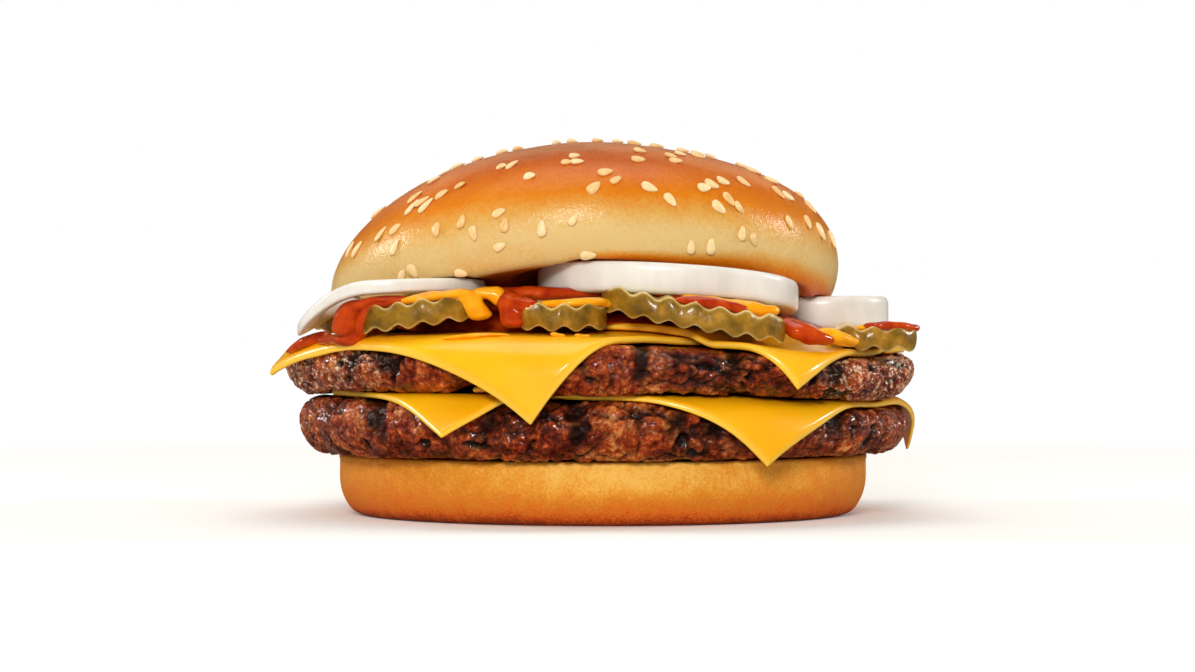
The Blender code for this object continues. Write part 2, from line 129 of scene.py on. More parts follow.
ROOM_LIGHT = 0.42  # what lights the burger from all sides
ROOM_GLEAM = 0.10  # what shiny surfaces mirror of the room: dark screens stand out of view
world = bpy.data.worlds.new("white_room")
world.use_nodes = True
scene.world = world
tree = world.node_tree
tree.nodes.clear()
seen = put(tree, "LightPath")
shown = put(tree, "Background", {"Color": "#FFFFFF", "Strength": 1.0})
lit = put(tree, "Background", {"Color": "#FFFDF8", "Strength": ROOM_LIGHT})
dim = put(tree, "Background", {"Color": "#FFFDF8", "Strength": ROOM_GLEAM})
unseen = put(tree, "MixShader", {0: seen.outputs["Is Glossy Ray"], 1: lit, 2: dim})
either = put(tree, "MixShader", {0: seen.outputs["Is Camera Ray"], 1: unseen, 2: shown})
put(tree, "OutputWorld", {"Surface": either})

# name: place, point aimed at, width and height, watts, colour
LAMPS = {
    "lamp_above": ((-30, 60, 620), (0, 0, 30), (560, 420), 1.4, "#FFFCF6"),
    "lamp_front": ((-70, -720, 250), (0, 0, 40), (190, 110), 3.3, "#FFFAF2"),
    "lamp_left": ((-570, 150, 240), (0, 0, 40), (130, 80), 1.2, "#FFFCF8"),
    "lamp_right": ((550, 120, 220), (0, 0, 40), (120, 80), 1.1, "#FFFCF8"),
    "lamp_behind": ((0, 560, 330), (0, 0, 50), (520, 170), 0.42, "#FFD8A0"),
}
for name, (place, aim, (width, height), watts, colour) in LAMPS.items():
    light = bpy.data.lights.new(name, "AREA")
    light.shape = "RECTANGLE"
    light.size = width * MM
    light.size_y = height * MM
    light.energy = watts
    light.color = srgb(colour)[:3]
    lamp = bpy.data.objects.new(name, light)
    lamp.location = in_frame(place)
    toward = Vector(in_frame(aim) - in_frame(place))
    lamp.rotation_euler = toward.to_track_quat("-Z", "Y").to_euler()
    scene.collection.objects.link(lamp)

FLOOR_HALF = 6000.0
FLOOR_CLEAR = 0.05  # the heel's foot is this far above the table
TABLE_GLOW = 0.03  # the table is lit from below a little, which keeps its shadow soft
TABLE_BOUNCE = "#D8D2C8"  # how the burger sees the table: less bright than the camera does
TABLE_MIRRORED = "#7C776E"  # and darker still where a shiny surface mirrors it
TABLE_FADES = (190.0, 520.0)  # distances from the burger between which the table turns into light
FAR_GLOW = 1.02  # strength of that light: just over full white
paper, tree, place = fresh_material("white_table")
away = put(tree, "VectorMath", {0: place}, operation="LENGTH")
fade = put(tree, "MapRange", {
    "Value": away.outputs["Value"], "From Min": TABLE_FADES[0] * MM, "From Max": TABLE_FADES[1] * MM,
}, interpolation_type="SMOOTHSTEP")
matt = put(tree, "BsdfDiffuse", {"Color": "#F7F7F7"})
gleam = put(tree, "Emission", {"Color": "#FFFFFF", "Strength": TABLE_GLOW})
lit_paper = put(tree, "AddShader", {0: matt, 1: gleam})
glow = put(tree, "Emission", {"Color": "#FFFFFF", "Strength": FAR_GLOW})
both = put(tree, "MixShader", {0: fade, 1: lit_paper, 2: glow})
rays = put(tree, "LightPath")
seen_tone = put(tree, "Mix", {
    "Factor": rays.outputs["Is Glossy Ray"], 6: TABLE_BOUNCE, 7: TABLE_MIRRORED}, data_type="RGBA")
bounce = put(tree, "BsdfDiffuse", {"Color": seen_tone.outputs[2]})
either = put(tree, "MixShader", {0: rays.outputs["Is Camera Ray"], 1: bounce, 2: both})
put(tree, "OutputMaterial", {"Surface": either})
floor_mesh = bpy.data.meshes.new("table")
corners = [(-1, -1, 0), (1, -1, 0), (1, 1, 0), (-1, 1, 0)]
floor_points = in_frame(np.array(corners) * FLOOR_HALF - (0.0, 0.0, FLOOR_CLEAR))
floor_mesh.from_pydata(floor_points, [], [(0, 1, 2, 3)])
floor_mesh.materials.append(paper)
table = bpy.data.objects.new("table", floor_mesh)
scene.collection.objects.link(table)

# Bun heel: the bottom half of a soft milk bun, baked on a tray, cut flat and carrying the rest.
# Its crust is dry and matt with a fine sandy grain, golden, red-brown at the foot and painted paler in front
# where the light falls.
# It is turned from a profile and made a little uneven.
HEEL_TOP = heel_high[2]
HEEL_RADIUS = (heel_high - heel_low)[0] / 2.0
HEEL_FOOT_RADIUS = HEEL_RADIUS - 5.6
HEEL_FOOT_ROUNDING = 8.0
HEEL_TOP_ROUNDING = 0.8
HEEL_COLUMNS = 560
GRAIN_SHARE = 1.6  # how much more than the mottling the grain shifts a crust's colour
LATTICE_STEPS = (73856093, 19349663, 83492791)  # large primes, so that no two corners are alike
SEED_STEP = 7919


def hashed(key):
    """Whole numbers to even random numbers from 0 to 1, by mixing their bits twice."""
    key = key & 0xFFFFFFFF
    for _ in range(2):
        key = ((key >> 16) ^ key) * 0x45D9F3B & 0xFFFFFFFF
    return ((key >> 16) ^ key) / 0xFFFFFFFF


def lattice(cell, seed):
    """One random number from 0 to 1 for each corner of a lattice of cubes."""
    return hashed((cell * LATTICE_STEPS).sum(axis=-1) + seed * SEED_STEP)


def noise(points, size, seed):
    """Smooth random field from -1 to 1: random numbers at the corners of cubes of that size, eased
    from each corner to the next."""
    cell = np.asarray(points) / size
    base = np.floor(cell).astype(np.int64)
    share = cell - base
    share = share * share * (3.0 - 2.0 * share)
    total = np.zeros(cell.shape[:-1])
    for corner in np.ndindex(2, 2, 2):
        weight = np.prod(np.where(corner, share, 1.0 - share), axis=-1)
        total += weight * lattice(base + corner, seed)
    return 2.0 * total - 1.0


def eased(x):
    """0 to 1 with level ends."""
    x = np.clip(x, 0.0, 1.0)
    return x * x * (3.0 - 2.0 * x)


def facings(rings):
    """Unit normals of closed rings: the cross product of the steps round and along the grid."""
    step_round = np.roll(rings, -1, axis=1) - np.roll(rings, 1, axis=1)
    step_along = np.gradient(rings, axis=0)
    across = np.cross(step_round, step_along)
    return across / np.maximum(np.linalg.norm(across, axis=-1, keepdims=True), 1e-9)


def piece(name, points, faces, finish, **shares):
    """A smooth mesh object from millimetre points. shares are numbers stored on its corners."""
    mesh = bpy.data.meshes.new(name)
    mesh.from_pydata(in_frame(points.reshape(-1, 3)), [], faces)
    for label, values in shares.items():
        share = mesh.attributes.new(label, "FLOAT", "POINT")
        share.data.foreach_set("value", values.ravel().astype(np.float32))
    mesh.shade_smooth()
    mesh.materials.append(finish)
    made = bpy.data.objects.new(name, mesh)
    scene.collection.objects.link(made)
    return made


def closed_faces(rows, columns):
    """Faces on rings of points, lowest first and anticlockwise, and two end points after them: quads
    from ring to ring, and a fan of triangles from each end ring to its end point."""
    index = np.arange(rows * columns).reshape(rows, columns)
    ahead = np.roll(index, -1, axis=1)
    walls = np.stack([index[:-1], ahead[:-1], ahead[1:], index[1:]], axis=-1).reshape(-1, 4)
    low, high = np.full(columns, rows * columns), np.full(columns, rows * columns + 1)
    low_fan = np.stack([low, ahead[0], index[0]], axis=-1)
    high_fan = np.stack([high, index[-1], ahead[-1]], axis=-1)
    return walls, np.concatenate([low_fan, high_fan])


def turned_piece(name, rings, finish, **shares):
    """A closed piece from rings of points, whose end points are the middles of the end rings."""
    walls, fans = closed_faces(*rings.shape[:2])
    end_points = [rings[0].mean(axis=0), rings[-1].mean(axis=0)]
    points = np.concatenate([rings.reshape(-1, 3), end_points])
    with_ends = {
        label: np.append(values, (values[0].mean(), values[-1].mean())) for label, values in shares.items()}
    return piece(name, points, walls.tolist() + fans.tolist(), finish, **with_ends)


def on_turn(radius, height, columns):
    """Rings of points from a profile of radii and heights."""
    angle = np.linspace(0.0, math.tau, columns, endpoint=False)
    x = radius[:, None] * np.cos(angle)
    y = radius[:, None] * np.sin(angle)
    return np.stack([x, y, height[:, None] + 0.0 * x], axis=-1)


def baked_crust(name, stops, mottle, mottle_size, grain_size, grain_depth, roughness, gloss, glaze):
    """Baked crust: a colour ramp over the piece's own baked share, shifted by soft mottling and
    by a fine grain, which also roughens the surface."""
    made, tree, place = fresh_material(name)
    baked = put(tree, "Attribute", attribute_name="baked").outputs["Fac"]
    patches = put(tree, "TexNoise", {
        "Vector": place, "Scale": 1.0 / (mottle_size * MM), "Detail": 3.0, "Roughness": 0.6})
    grain = put(tree, "TexNoise", {
        "Vector": place, "Scale": 1.0 / (grain_size * MM), "Detail": 2.0, "Roughness": 0.7})
    shift = put(tree, "Math", {0: patches, 1: 2.0 * mottle, 2: -mottle}, operation="MULTIPLY_ADD")
    speck = put(tree, "Math", {
        0: grain, 1: 2.0 * GRAIN_SHARE * mottle, 2: -GRAIN_SHARE * mottle}, operation="MULTIPLY_ADD")
    both = put(tree, "Math", {0: shift, 1: speck}, operation="ADD")
    level = put(tree, "Math", {0: baked, 1: both}, operation="ADD", use_clamp=True)
    colour = put(tree, "ValToRGB", {"Fac": level}, stops=stops)
    bump = put(tree, "Bump", {"Height": grain, "Distance": grain_depth * MM, "Strength": 1.0})
    matt = put(tree, "MapRange", {
        "Value": patches, "To Min": roughness - 0.08, "To Max": roughness + 0.08})
    shader = put(tree, "BsdfPrincipled", {
        "Base Color": colour, "Roughness": matt, "IOR": 1.45,
        "Specular IOR Level": gloss, "Subsurface Weight": 0.08, "Subsurface Radius": (1.0, 0.5, 0.2),
        "Subsurface Scale": 1.5 * MM, "Normal": bump,
        "Coat Weight": glaze, "Coat Roughness": 0.2, "Coat Normal": bump,
    })
    put(tree, "OutputMaterial", {"Surface": shader})
    return made


# Colours go from barely baked to well browned.
tray_crust = baked_crust(
    "tray_baked_crust",
    ((0.0, "#F0BC58"), (0.28, "#E69A30"), (0.5, "#DC8424"),
     (0.72, "#E0701E"), (0.9, "#D05A18"), (1.0, "#AC4614")),
    mottle=0.24, mottle_size=3.0, grain_size=0.5, grain_depth=0.16, roughness=0.66, gloss=0.2, glaze=0.0,
)
turn = np.linspace(0.0, math.pi / 2.0, 26)
foot = np.linspace(2.0, HEEL_FOOT_RADIUS, 8)
side = np.linspace(HEEL_FOOT_ROUNDING, HEEL_TOP - HEEL_TOP_ROUNDING, 16)[1:-1]
cut = np.linspace(HEEL_RADIUS - HEEL_TOP_ROUNDING, 2.0, 8)
swelling_foot = HEEL_FOOT_RADIUS + (HEEL_RADIUS - HEEL_FOOT_RADIUS) * np.sin(turn) ** 0.85
heel_radius = np.concatenate([
    foot, swelling_foot[1:], HEEL_RADIUS + 0.0 * side,
    HEEL_RADIUS - HEEL_TOP_ROUNDING * (1.0 - np.cos(turn[::6])), cut[1:]])
heel_height = np.concatenate([
    0.0 * foot, (HEEL_FOOT_ROUNDING * (1.0 - np.cos(turn)))[1:], side,
    HEEL_TOP - HEEL_TOP_ROUNDING * (1.0 - np.sin(turn[::6])), HEEL_TOP + 0.0 * cut[1:]])
heel = on_turn(heel_radius, heel_height, HEEL_COLUMNS)
heel_out = facings(heel)
angle = np.arctan2(heel[..., 1], heel[..., 0])
rim = eased(heel[..., 2] / 3.0) * eased((HEEL_TOP - heel[..., 2]) / 1.5)
swell = 0.35 * noise(heel, 24.0, 1) + 0.12 * noise(heel, 7.0, 2) - 0.25
creases = 0.10 * noise(heel * (1.0, 1.0, 0.22), 2.6, 3) * eased(np.abs(np.cos(angle)) * 3.0 - 1.7)
heel = heel + heel_out * ((swell + creases) * rim)[..., None]
up = heel[..., 2] / HEEL_TOP
# The crust is brownest at the foot and less brown towards the top, and a painted pool of light makes it
# paler in the middle of the front.
# Painted light: a paler patch in the middle of the front, where the light falls.
pale_front = np.exp(-((heel[..., 0] - 6.0) / 26.0) ** 2) * eased(-heel[..., 1] / 20.0)
heel_baked = 0.60 - 0.20 * eased((up - 0.25) / 0.6) + 0.40 * (1.0 - eased(up / 0.30))
heel_baked = heel_baked - 0.34 * pale_front * eased((up - 0.25) / 0.4)
heel_baked = heel_baked + 0.06 * noise(heel, 9.0, 4)
heel_piece = turned_piece("bottom_bun", heel, tray_crust, baked=heel_baked)
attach(heel_piece, "root")
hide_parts("bun_heel")

# Beef patties: minced beef pressed by hand, grilled on bars and dripping with fat. The edge is a
# rough wall of torn crumbs with painted shade in the cracks between them, char where the bars
# crossed it, and wet glints, with painted light and painted glints at the ends.
# Each is a slab with a half-round edge whose surface is pushed inwards crumb by crumb.
GAP = 0.3
PATTY_EDGE = 4.8
LOWER_PATTY_RADIUS = 59.8
UPPER_PATTY_RADIUS = 62.2
LOWER_PATTY_MIDDLE_TOP = 23.4
UPPER_PATTY_MIDDLE_TOP = 35.0
LOWER_RIM_TOP = {0: 22.4, 35: 23.0, 90: 23.2, 180: 23.3, 240: 23.1, 270: 23.1, 295: 22.6,
                 315: 21.6, 335: 21.2}
UPPER_RIM_TOP = {0: 32.2, 35: 33.0, 90: 33.8, 150: 33.6, 180: 33.0, 200: 33.5, 225: 33.7,
                 250: 33.7, 277: 33.4, 293: 32.3, 310: 31.0, 330: 30.7, 345: 31.2}
LOWER_BARS = (-43.0, -21.4, -5.0, 13.4, 20.4, 32.0, 43.5)
UPPER_BARS = (-41.0, -30.2, -11.0, 6.9, 24.2, 43.2)
PATTY_COLUMNS = 900
CRUMB = 5.2
FINE_CRUMB = 1.7
BAR_HALF_WIDTH = 1.5
BAR_SPREAD = 0.9  # the widest char mark is wider by this much on each side
LOWER_CHEESE = 1.1
UPPER_CHEESE = 1.4
# Corners of each cheese slice laid out flat, front corner first and then anticlockwise
LOWER_LEFT_SLICE = ((-29.9, -62.3), (42, -15.5), (-30, 60), (-52, -17.5))
LOWER_RIGHT_SLICE = ((33.8, -60.4), (68.5, 12), (-8, 46), (-24, -51))
UPPER_LEFT_SLICE = ((-15.2, -73.4), (49, -17), (-2, 44), (-66.5, -19))
UPPER_RIGHT_SLICE = ((37.3, -57), (59, -6), (-4, 67), (-38, -24))
SLICE_LIFT = 6.0  # distance over which a patty settles past a slice's edge


def around(table, direction):
    """The value of a table of directions at a direction, eased from one entry to the next."""
    angles = np.array(sorted(table), float)
    values = np.array([table[a] for a in sorted(table)], float)
    upper = np.searchsorted(angles, direction, side="right") % len(angles)
    lower = upper - 1
    share = ((direction - angles[lower]) % 360.0) / ((angles[upper] - angles[lower]) % 360.0)
    return values[lower] + (values[upper] - values[lower]) * eased(share)


def direction_of(x, y):
    """Direction of a point round the axis, from 0 to 360."""
    return np.degrees(np.arctan2(y, x)) % 360.0


def patty_outline(radius, direction, phase):
    """Radius of a hand-formed patty by direction: a circle with a few shallow waves."""
    a = np.radians(direction + phase)
    return radius + 0.55 * np.sin(2.0 * a) + 0.45 * np.sin(3.0 * a + 0.8) + 0.35 * np.sin(7.0 * a + 2.0)


def lower_outline(direction):
    """Radius of the lower patty by direction."""
    return patty_outline(LOWER_PATTY_RADIUS, direction, 20.0)


def upper_outline(direction):
    """Radius of the upper patty by direction, with its waves turned to other places."""
    return patty_outline(UPPER_PATTY_RADIUS, direction, 75.0)


def slice_share(corners, x, y):
    """1 where the flat slice lies, falling to 0 over SLICE_LIFT past its edges."""
    outside = np.full(np.shape(x), -np.inf)
    for (ax, ay), (bx, by) in zip(corners, corners[1:] + corners[:1]):
        length = math.hypot(bx - ax, by - ay)
        outside = np.maximum(outside, ((by - ay) * (x - ax) - (bx - ax) * (y - ay)) / length)
    return 1.0 - eased(outside / SLICE_LIFT)


def patty_top(x, y, middle, rim_table, radius):
    """Top face of a patty: level in the middle, and at the table's height near the rim."""
    share = eased((np.hypot(x, y) / radius - 0.45) / 0.5)
    return middle + (around(rim_table, direction_of(x, y)) - middle) * share


def lower_floor(x, y):
    """Underside of the lower patty: level on the heel."""
    return HEEL_TOP + GAP + 0.0 * x


def lower_top(x, y):
    """Top face of the lower patty."""
    return patty_top(x, y, LOWER_PATTY_MIDDLE_TOP, LOWER_RIM_TOP, LOWER_PATTY_RADIUS)


def upper_floor(x, y):
    """Underside of the upper patty: it settles over the two lower slices."""
    slices = slice_share(LOWER_LEFT_SLICE, x, y) + slice_share(LOWER_RIGHT_SLICE, x, y)
    return lower_top(x, y) + GAP + (LOWER_CHEESE + GAP) * slices


def upper_top(x, y):
    """Top face of the upper patty."""
    return patty_top(x, y, UPPER_PATTY_MIDDLE_TOP, UPPER_RIM_TOP, UPPER_PATTY_RADIUS)


def crumbs(points, size, seed):
    """Distances, in sizes, to the nearest and the second nearest of points scattered one to each
    cube of that size: low in the middle of a crumb, and alike in the cracks between crumbs."""
    cell = np.asarray(points) / size
    base = np.floor(cell).astype(np.int64)
    first = np.full(cell.shape[:-1], np.inf)
    second = first.copy()
    for step in np.ndindex(3, 3, 3):
        near = base + (np.array(step) - 1)
        spot = near + np.stack([lattice(near, seed + axis) for axis in range(3)], axis=-1)
        gone = np.linalg.norm(spot - cell, axis=-1)
        second = np.minimum(second, np.maximum(first, gone))
        first = np.minimum(first, gone)
    return first, second


def torn_patty(outline, floor, top, bars, seed):
    """Rings of a patty, with shares of painted shade in the cracks, of char, and of running fat, which
    also carries painted light at the ends. The smooth slab has flat faces to the start of its edge and
    then a half round. Crumbs of two sizes, strands, pits and the grill bars then push its surface
    inwards."""
    arc = np.linspace(-math.pi / 2.0, math.pi / 2.0, 58)
    below = np.linspace(0.04, 1.0, 12)[:-1]
    above = np.linspace(1.0, 0.04, 26)[1:]
    share = np.concatenate([below, 1.0 + np.cos(arc), above])[:, None]
    height = np.concatenate([-1.0 + 0.0 * below, np.sin(arc), 1.0 + 0.0 * above])[:, None]
    a = np.linspace(0.0, math.tau, PATTY_COLUMNS, endpoint=False)
    flat = outline(np.degrees(a)) - PATTY_EDGE
    held = np.minimum(share, 1.0) * flat
    radius = held + np.maximum(share - 1.0, 0.0) * PATTY_EDGE * (1.0 + 0.2 * height)
    low = floor(held * np.cos(a), held * np.sin(a))
    high = top(held * np.cos(a), held * np.sin(a))
    z = (low + high) / 2.0 + (high - low) / 2.0 * height
    rings = np.stack([radius * np.cos(a), radius * np.sin(a), z], axis=-1)
    out = facings(rings)
    warp = np.stack([noise(rings, 5.0, seed + axis) for axis in range(3)], axis=-1)
    grain = rings + 1.6 * warp
    lumps = 0.5 - 0.5 * noise(rings, 12.0, seed + 5)
    near, far = crumbs(grain * (0.8, 0.8, 1.2), CRUMB, seed + 10)
    fine_near, fine_far = crumbs(rings + 1.1 * warp, FINE_CRUMB, seed + 20)
    crack = np.clip(1.0 - (far - near) / 0.24, 0.0, 1.0)
    fine_crack = np.clip(1.0 - (fine_far - fine_near) / 0.4, 0.0, 1.0)
    strands = (1.0 - np.abs(noise(grain, 3.0, seed + 34))) ** 5
    fine_strands = (1.0 - np.abs(noise(grain * (1.3, 1.3, 0.8), 1.6, seed + 35))) ** 4
    torn = eased((noise(rings, 8.0, seed + 30) + 0.25) / 0.7)
    pits = eased((noise(rings, 3.0, seed + 31) - 0.46) / 0.25)
    from_top = (high - rings[..., 2]) / (high - low)
    char = np.zeros(from_top.shape)
    for i, bar in enumerate(bars):
        reach = 0.55 + 0.30 * hashed(np.int64(seed * 31 + i))
        wide = BAR_HALF_WIDTH + BAR_SPREAD * hashed(np.int64(seed * 57 + i))
        sway = rings[..., 0] - bar + 0.8 * noise(rings, 5.0, seed + 40)
        fading = 1.0 - eased((from_top - reach + 0.15) / 0.25)
        char = np.maximum(char, np.exp(-(sway / wide) ** 4) * fading)
    char = np.clip(1.3 * char * (0.75 + 0.30 * noise(rings, 2.2, seed + 41)), 0.0, 1.0)
    # Depths in millimetres: lumps, crumbs, cracks, strands, pits, char and a fine grain
    depth = 1.0 * lumps + 0.26 * near ** 2 + (0.08 + 0.50 * torn) * crack ** 2
    depth = depth + 0.65 * strands + (0.15 + 0.30 * torn) * fine_strands + 0.25 * fine_near ** 2
    depth = depth + 0.18 * fine_crack ** 2 + 1.1 * pits + 0.8 * char - 0.85
    depth = depth + 0.12 * noise(rings, 1.2, seed + 51) + 0.10 * noise(rings, 0.7, seed + 50)
    at_edge = 0.25 + 0.75 * eased((share - 0.93) / 0.12)
    rings = rings - out * (np.maximum(depth, -0.25) * at_edge)[..., None]
    # Painted shade: how much the colour darkens in the cracks, strands and pits, where shade falls.
    cavity = (0.1 + 0.4 * torn) * crack ** 1.5 + 0.45 * strands + 0.35 * fine_strands * torn + 0.9 * pits
    cavity = np.clip(1.3 * cavity + 0.25 * fine_crack ** 2 + 0.4 * (lumps - 0.7), 0.0, 1.0)
    # The wet ends: they get real gloss, and also painted light, a lighter colour and pale painted glints.
    wet = eased((np.abs(rings[..., 0]) - 38.0) / 12.0)
    return rings, cavity, char, wet


def grilled_beef(name):
    """Seared minced beef with fat on it: red-brown crumbs of several shades, painted nearly black with
    shade in the cracks and charred nearly black on the bar marks, under a thin wet layer that is broken
    up by the crumbs. At the wet ends the meat is painted lighter, and its pale flecks are partly fat
    and partly painted glints."""
    made, tree, place = fresh_material(name)
    cavity = put(tree, "Attribute", attribute_name="cavity").outputs["Fac"]
    char = put(tree, "Attribute", attribute_name="char").outputs["Fac"]
    shades = put(tree, "TexNoise", {
        "Vector": place, "Scale": 1.0 / (6.0 * MM), "Detail": 5.0, "Roughness": 0.65})
    specks = put(tree, "TexNoise", {
        "Vector": place, "Scale": 1.0 / (1.1 * MM), "Detail": 4.0, "Roughness": 0.75})
    crumb = put(tree, "TexVoronoi", {"Vector": place, "Scale": 1.0 / (1.0 * MM)})
    both = put(tree, "Math", {0: specks, 1: 0.9, 2: -0.45}, operation="MULTIPLY_ADD")
    level = put(tree, "Math", {0: shades, 1: both}, operation="ADD")
    wet_end = put(tree, "Attribute", attribute_name="wet").outputs["Fac"]
    # Painted light: the meat is lightened at the wet ends.
    level = put(tree, "Math", {0: wet_end, 1: 0.07, 2: level}, operation="MULTIPLY_ADD")
    meat = put(tree, "ValToRGB", {"Fac": level}, stops=(
        (0.28, "#340B03"), (0.40, "#6C1C08"), (0.50, "#9A3812"), (0.59, "#BC5420"), (0.71, "#E29450")))
    # Painted shade: the meat is darkened towards near black in the cracks.
    dark = put(tree, "Mix", {"Factor": cavity, 6: meat, 7: "#1C0804"}, data_type="RGBA")
    burnt = put(tree, "Mix", {"Factor": char, 6: dark.outputs[2], 7: "#220B05"}, data_type="RGBA")
    # Pale flecks at the wet ends, partly fat and partly painted glints.
    flecks = put(tree, "MapRange", {"Value": specks, "From Min": 0.54, "From Max": 0.61, "To Max": wet_end})
    fatty = put(tree, "Mix", {"Factor": flecks, 6: burnt.outputs[2], 7: "#F4CEB0"}, data_type="RGBA")
    relief = put(tree, "Math", {0: crumb, 1: -0.5, 2: specks}, operation="MULTIPLY_ADD")
    bump = put(tree, "Bump", {"Height": relief, "Distance": 0.45 * MM, "Strength": 1.0})
    drips = put(tree, "TexNoise", {"Vector": place, "Scale": 1.0 / (1.1 * MM), "Detail": 2.0})
    film = put(tree, "Bump", {"Height": drips, "Distance": 0.36 * MM, "Strength": 1.0})
    wet = put(tree, "MapRange", {
        "Value": shades, "From Min": 0.38, "From Max": 0.62, "To Min": 0.3, "To Max": 0.6})
    pools = put(tree, "TexNoise", {"Vector": place, "Scale": 1.0 / (4.5 * MM), "Detail": 3.0})
    fat = put(tree, "MapRange", {
        "Value": pools, "From Min": 0.44, "From Max": 0.60, "To Min": 0.05, "To Max": 1.0})
    coat = put(tree, "Math", {0: wet_end, 1: 0.7, 2: fat}, operation="MULTIPLY_ADD", use_clamp=True)
    bare = put(tree, "Math", {0: char, 1: -0.6, 2: coat}, operation="MULTIPLY_ADD", use_clamp=True)
    shader = put(tree, "BsdfPrincipled", {
        "Base Color": fatty.outputs[2], "Roughness": wet, "IOR": 1.45,
        "Specular IOR Level": 0.15, "Coat Weight": bare, "Coat Roughness": 0.06, "Coat IOR": 1.5,
        "Normal": bump, "Coat Normal": film,
    })
    put(tree, "OutputMaterial", {"Surface": shader})
    return made


beef = grilled_beef("grilled_minced_beef")
# Each patty's weight of its wet ends sets their gloss and their painted light.
for name, node, wetness, shape in (
    ("lower_patty", "patty_lower", 0.15, torn_patty(lower_outline, lower_floor, lower_top, LOWER_BARS, 100)),
    ("upper_patty", "patty_upper", 1.0, torn_patty(upper_outline, upper_floor, upper_top, UPPER_BARS, 300)),
):
    rings, cavity, char, wet = shape
    patty_piece = turned_piece(name, rings, beef, cavity=cavity, char=char, wet=wetness * wet)
    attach(patty_piece, "root")
    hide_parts(node)

# Cheese: four square slices of processed cheddar, half melted by the beef. They are smooth, satin
# and slightly see-through, stick to the patty, and bend down past its rim by their corners.
# A flat slice with rounded edges is worked out first and then draped.
BEND_RADIUS = 6.4
# How steeply the overhanging cheese hangs, by direction
LOWER_DROOP = {13: 88, 40: 60, 90: 60, 116: 72, 145: 40, 205: 36, 244: 34, 262: 50, 281: 80,
               297: 86, 318: 60, 333: 34, 350: 70}
UPPER_DROOP = {0: 20, 28: 45, 60: 60, 93: 80, 125: 50, 160: 40, 182: 50, 205: 42, 225: 74,
               240: 82, 259: 86, 280: 80, 307: 76, 325: 40, 340: 14}
SLICE_LINES = 108
SLICE_SIDE = 88.0
MELTED_SPREAD = 1.012  # a melting slice grows a little
EDGE_WANDER = 0.35
RIPPLE = 0.25
RIPPLED = (50.0, 58.0)  # distances from the axis between which the ripples grow to full height


def crowded(length, edge, inner):
    """Shares from -1 to 1 across a sheet, and how high the sheet's rounded edge is at each: even
    steps inside, and six steps of a quarter round across each edge."""
    turn = np.linspace(0.0, math.pi / 2.0, 7)
    inset = 2.0 * edge / length * (1.0 - np.cos(turn))
    middle = np.linspace(-1.0 + inset[-1], 1.0 - inset[-1], inner)
    shares = np.concatenate([-1.0 + inset[:-1], middle, 1.0 - inset[-2::-1]])
    return shares, np.concatenate([np.sin(turn[:-1]), np.ones(inner), np.sin(turn[-2::-1])])


def pillow(name, low, high, finish, **shares):
    """A closed sheet from two grids of points that share their border."""
    rows, columns, _ = low.shape
    upper = np.arange(rows * columns).reshape(rows, columns)
    inside = np.zeros((rows, columns), bool)
    inside[1:-1, 1:-1] = True
    lower = upper.copy()
    lower[inside] = rows * columns + np.arange(inside.sum())
    top = np.stack([upper[:-1, :-1], upper[:-1, 1:], upper[1:, 1:], upper[1:, :-1]], axis=-1)
    bottom = np.stack([lower[:-1, :-1], lower[1:, :-1], lower[1:, 1:], lower[:-1, 1:]], axis=-1)
    points = np.concatenate([high.reshape(-1, 3), low[inside]])
    both = {key: np.concatenate([value.ravel(), value[inside]]) for key, value in shares.items()}
    return piece(name, points, top.reshape(-1, 4).tolist() + bottom.reshape(-1, 4).tolist(), finish, **both)


def draped(x, y, lift, top, outline, droop_table):
    """Where a flat sheet's points go over a patty: level on top, then round a bend past the rim
    and straight down the slope that the table gives for that direction."""
    radius, direction = np.hypot(x, y), direction_of(x, y)
    start = outline(direction) - PATTY_EDGE
    past = np.maximum(radius - start, 0.0)
    bend = BEND_RADIUS + lift
    slope = np.radians(around(droop_table, direction))
    turned = np.minimum(past / bend, slope)
    straight = np.maximum(past - bend * slope, 0.0)
    out = bend * np.sin(turned) + straight * np.cos(slope)
    down = bend * (1.0 - np.cos(turned)) + straight * np.sin(slope)
    inside = np.minimum(radius, start)
    scale = (inside + out) / np.maximum(radius, 1e-6)
    hold = inside / np.maximum(radius, 1e-6)
    return np.stack([x * scale, y * scale, top(x * hold, y * hold) + lift - down], axis=-1)


def melting_slice(name, corners, below, thickness, drape, seed):
    """A slice over the quad of its corners, lifted where it crosses the slice below. Its edges are
    rounded, its surface rises and falls by a few tenths where it hangs, and the drape takes it over
    the patty."""
    front, right, back, left = (np.array(corner) for corner in corners)
    shares, rounding = crowded(SLICE_SIDE, thickness * 0.6, SLICE_LINES)
    u, v = np.meshgrid((shares + 1.0) / 2.0, (shares + 1.0) / 2.0)
    full = rounding[:, None] * rounding[None, :]
    u, v = u[..., None], v[..., None]
    flat = (front * (1.0 - u) + right * u) * (1.0 - v) + (left * (1.0 - u) + back * u) * v
    ripple = np.stack([flat[..., 0], flat[..., 1], 0.0 * flat[..., 0]], axis=-1)
    flat = flat * MELTED_SPREAD
    wander = np.stack([noise(ripple, 14.0, seed), noise(ripple, 14.0, seed + 1)], axis=-1)
    flat = flat + EDGE_WANDER * wander
    x, y = flat[..., 0], flat[..., 1]
    hanging = eased((np.hypot(x, y) - RIPPLED[0]) / (RIPPLED[1] - RIPPLED[0]))
    wave = hanging * (0.08 + RIPPLE * noise(ripple, 11.0, seed + 2))
    lift = GAP + (thickness + GAP) * slice_share(below, x, y) if below else GAP
    middle = lift + wave + 0.5 * thickness
    faces = [draped(x, y, middle + side * 0.5 * thickness * full, *drape) for side in (-1.0, 1.0)]
    # The rounded edges get a painted highlight, a lighter colour along them.
    return pillow(name, *faces, cheddar, cut_edge=1.0 - full)


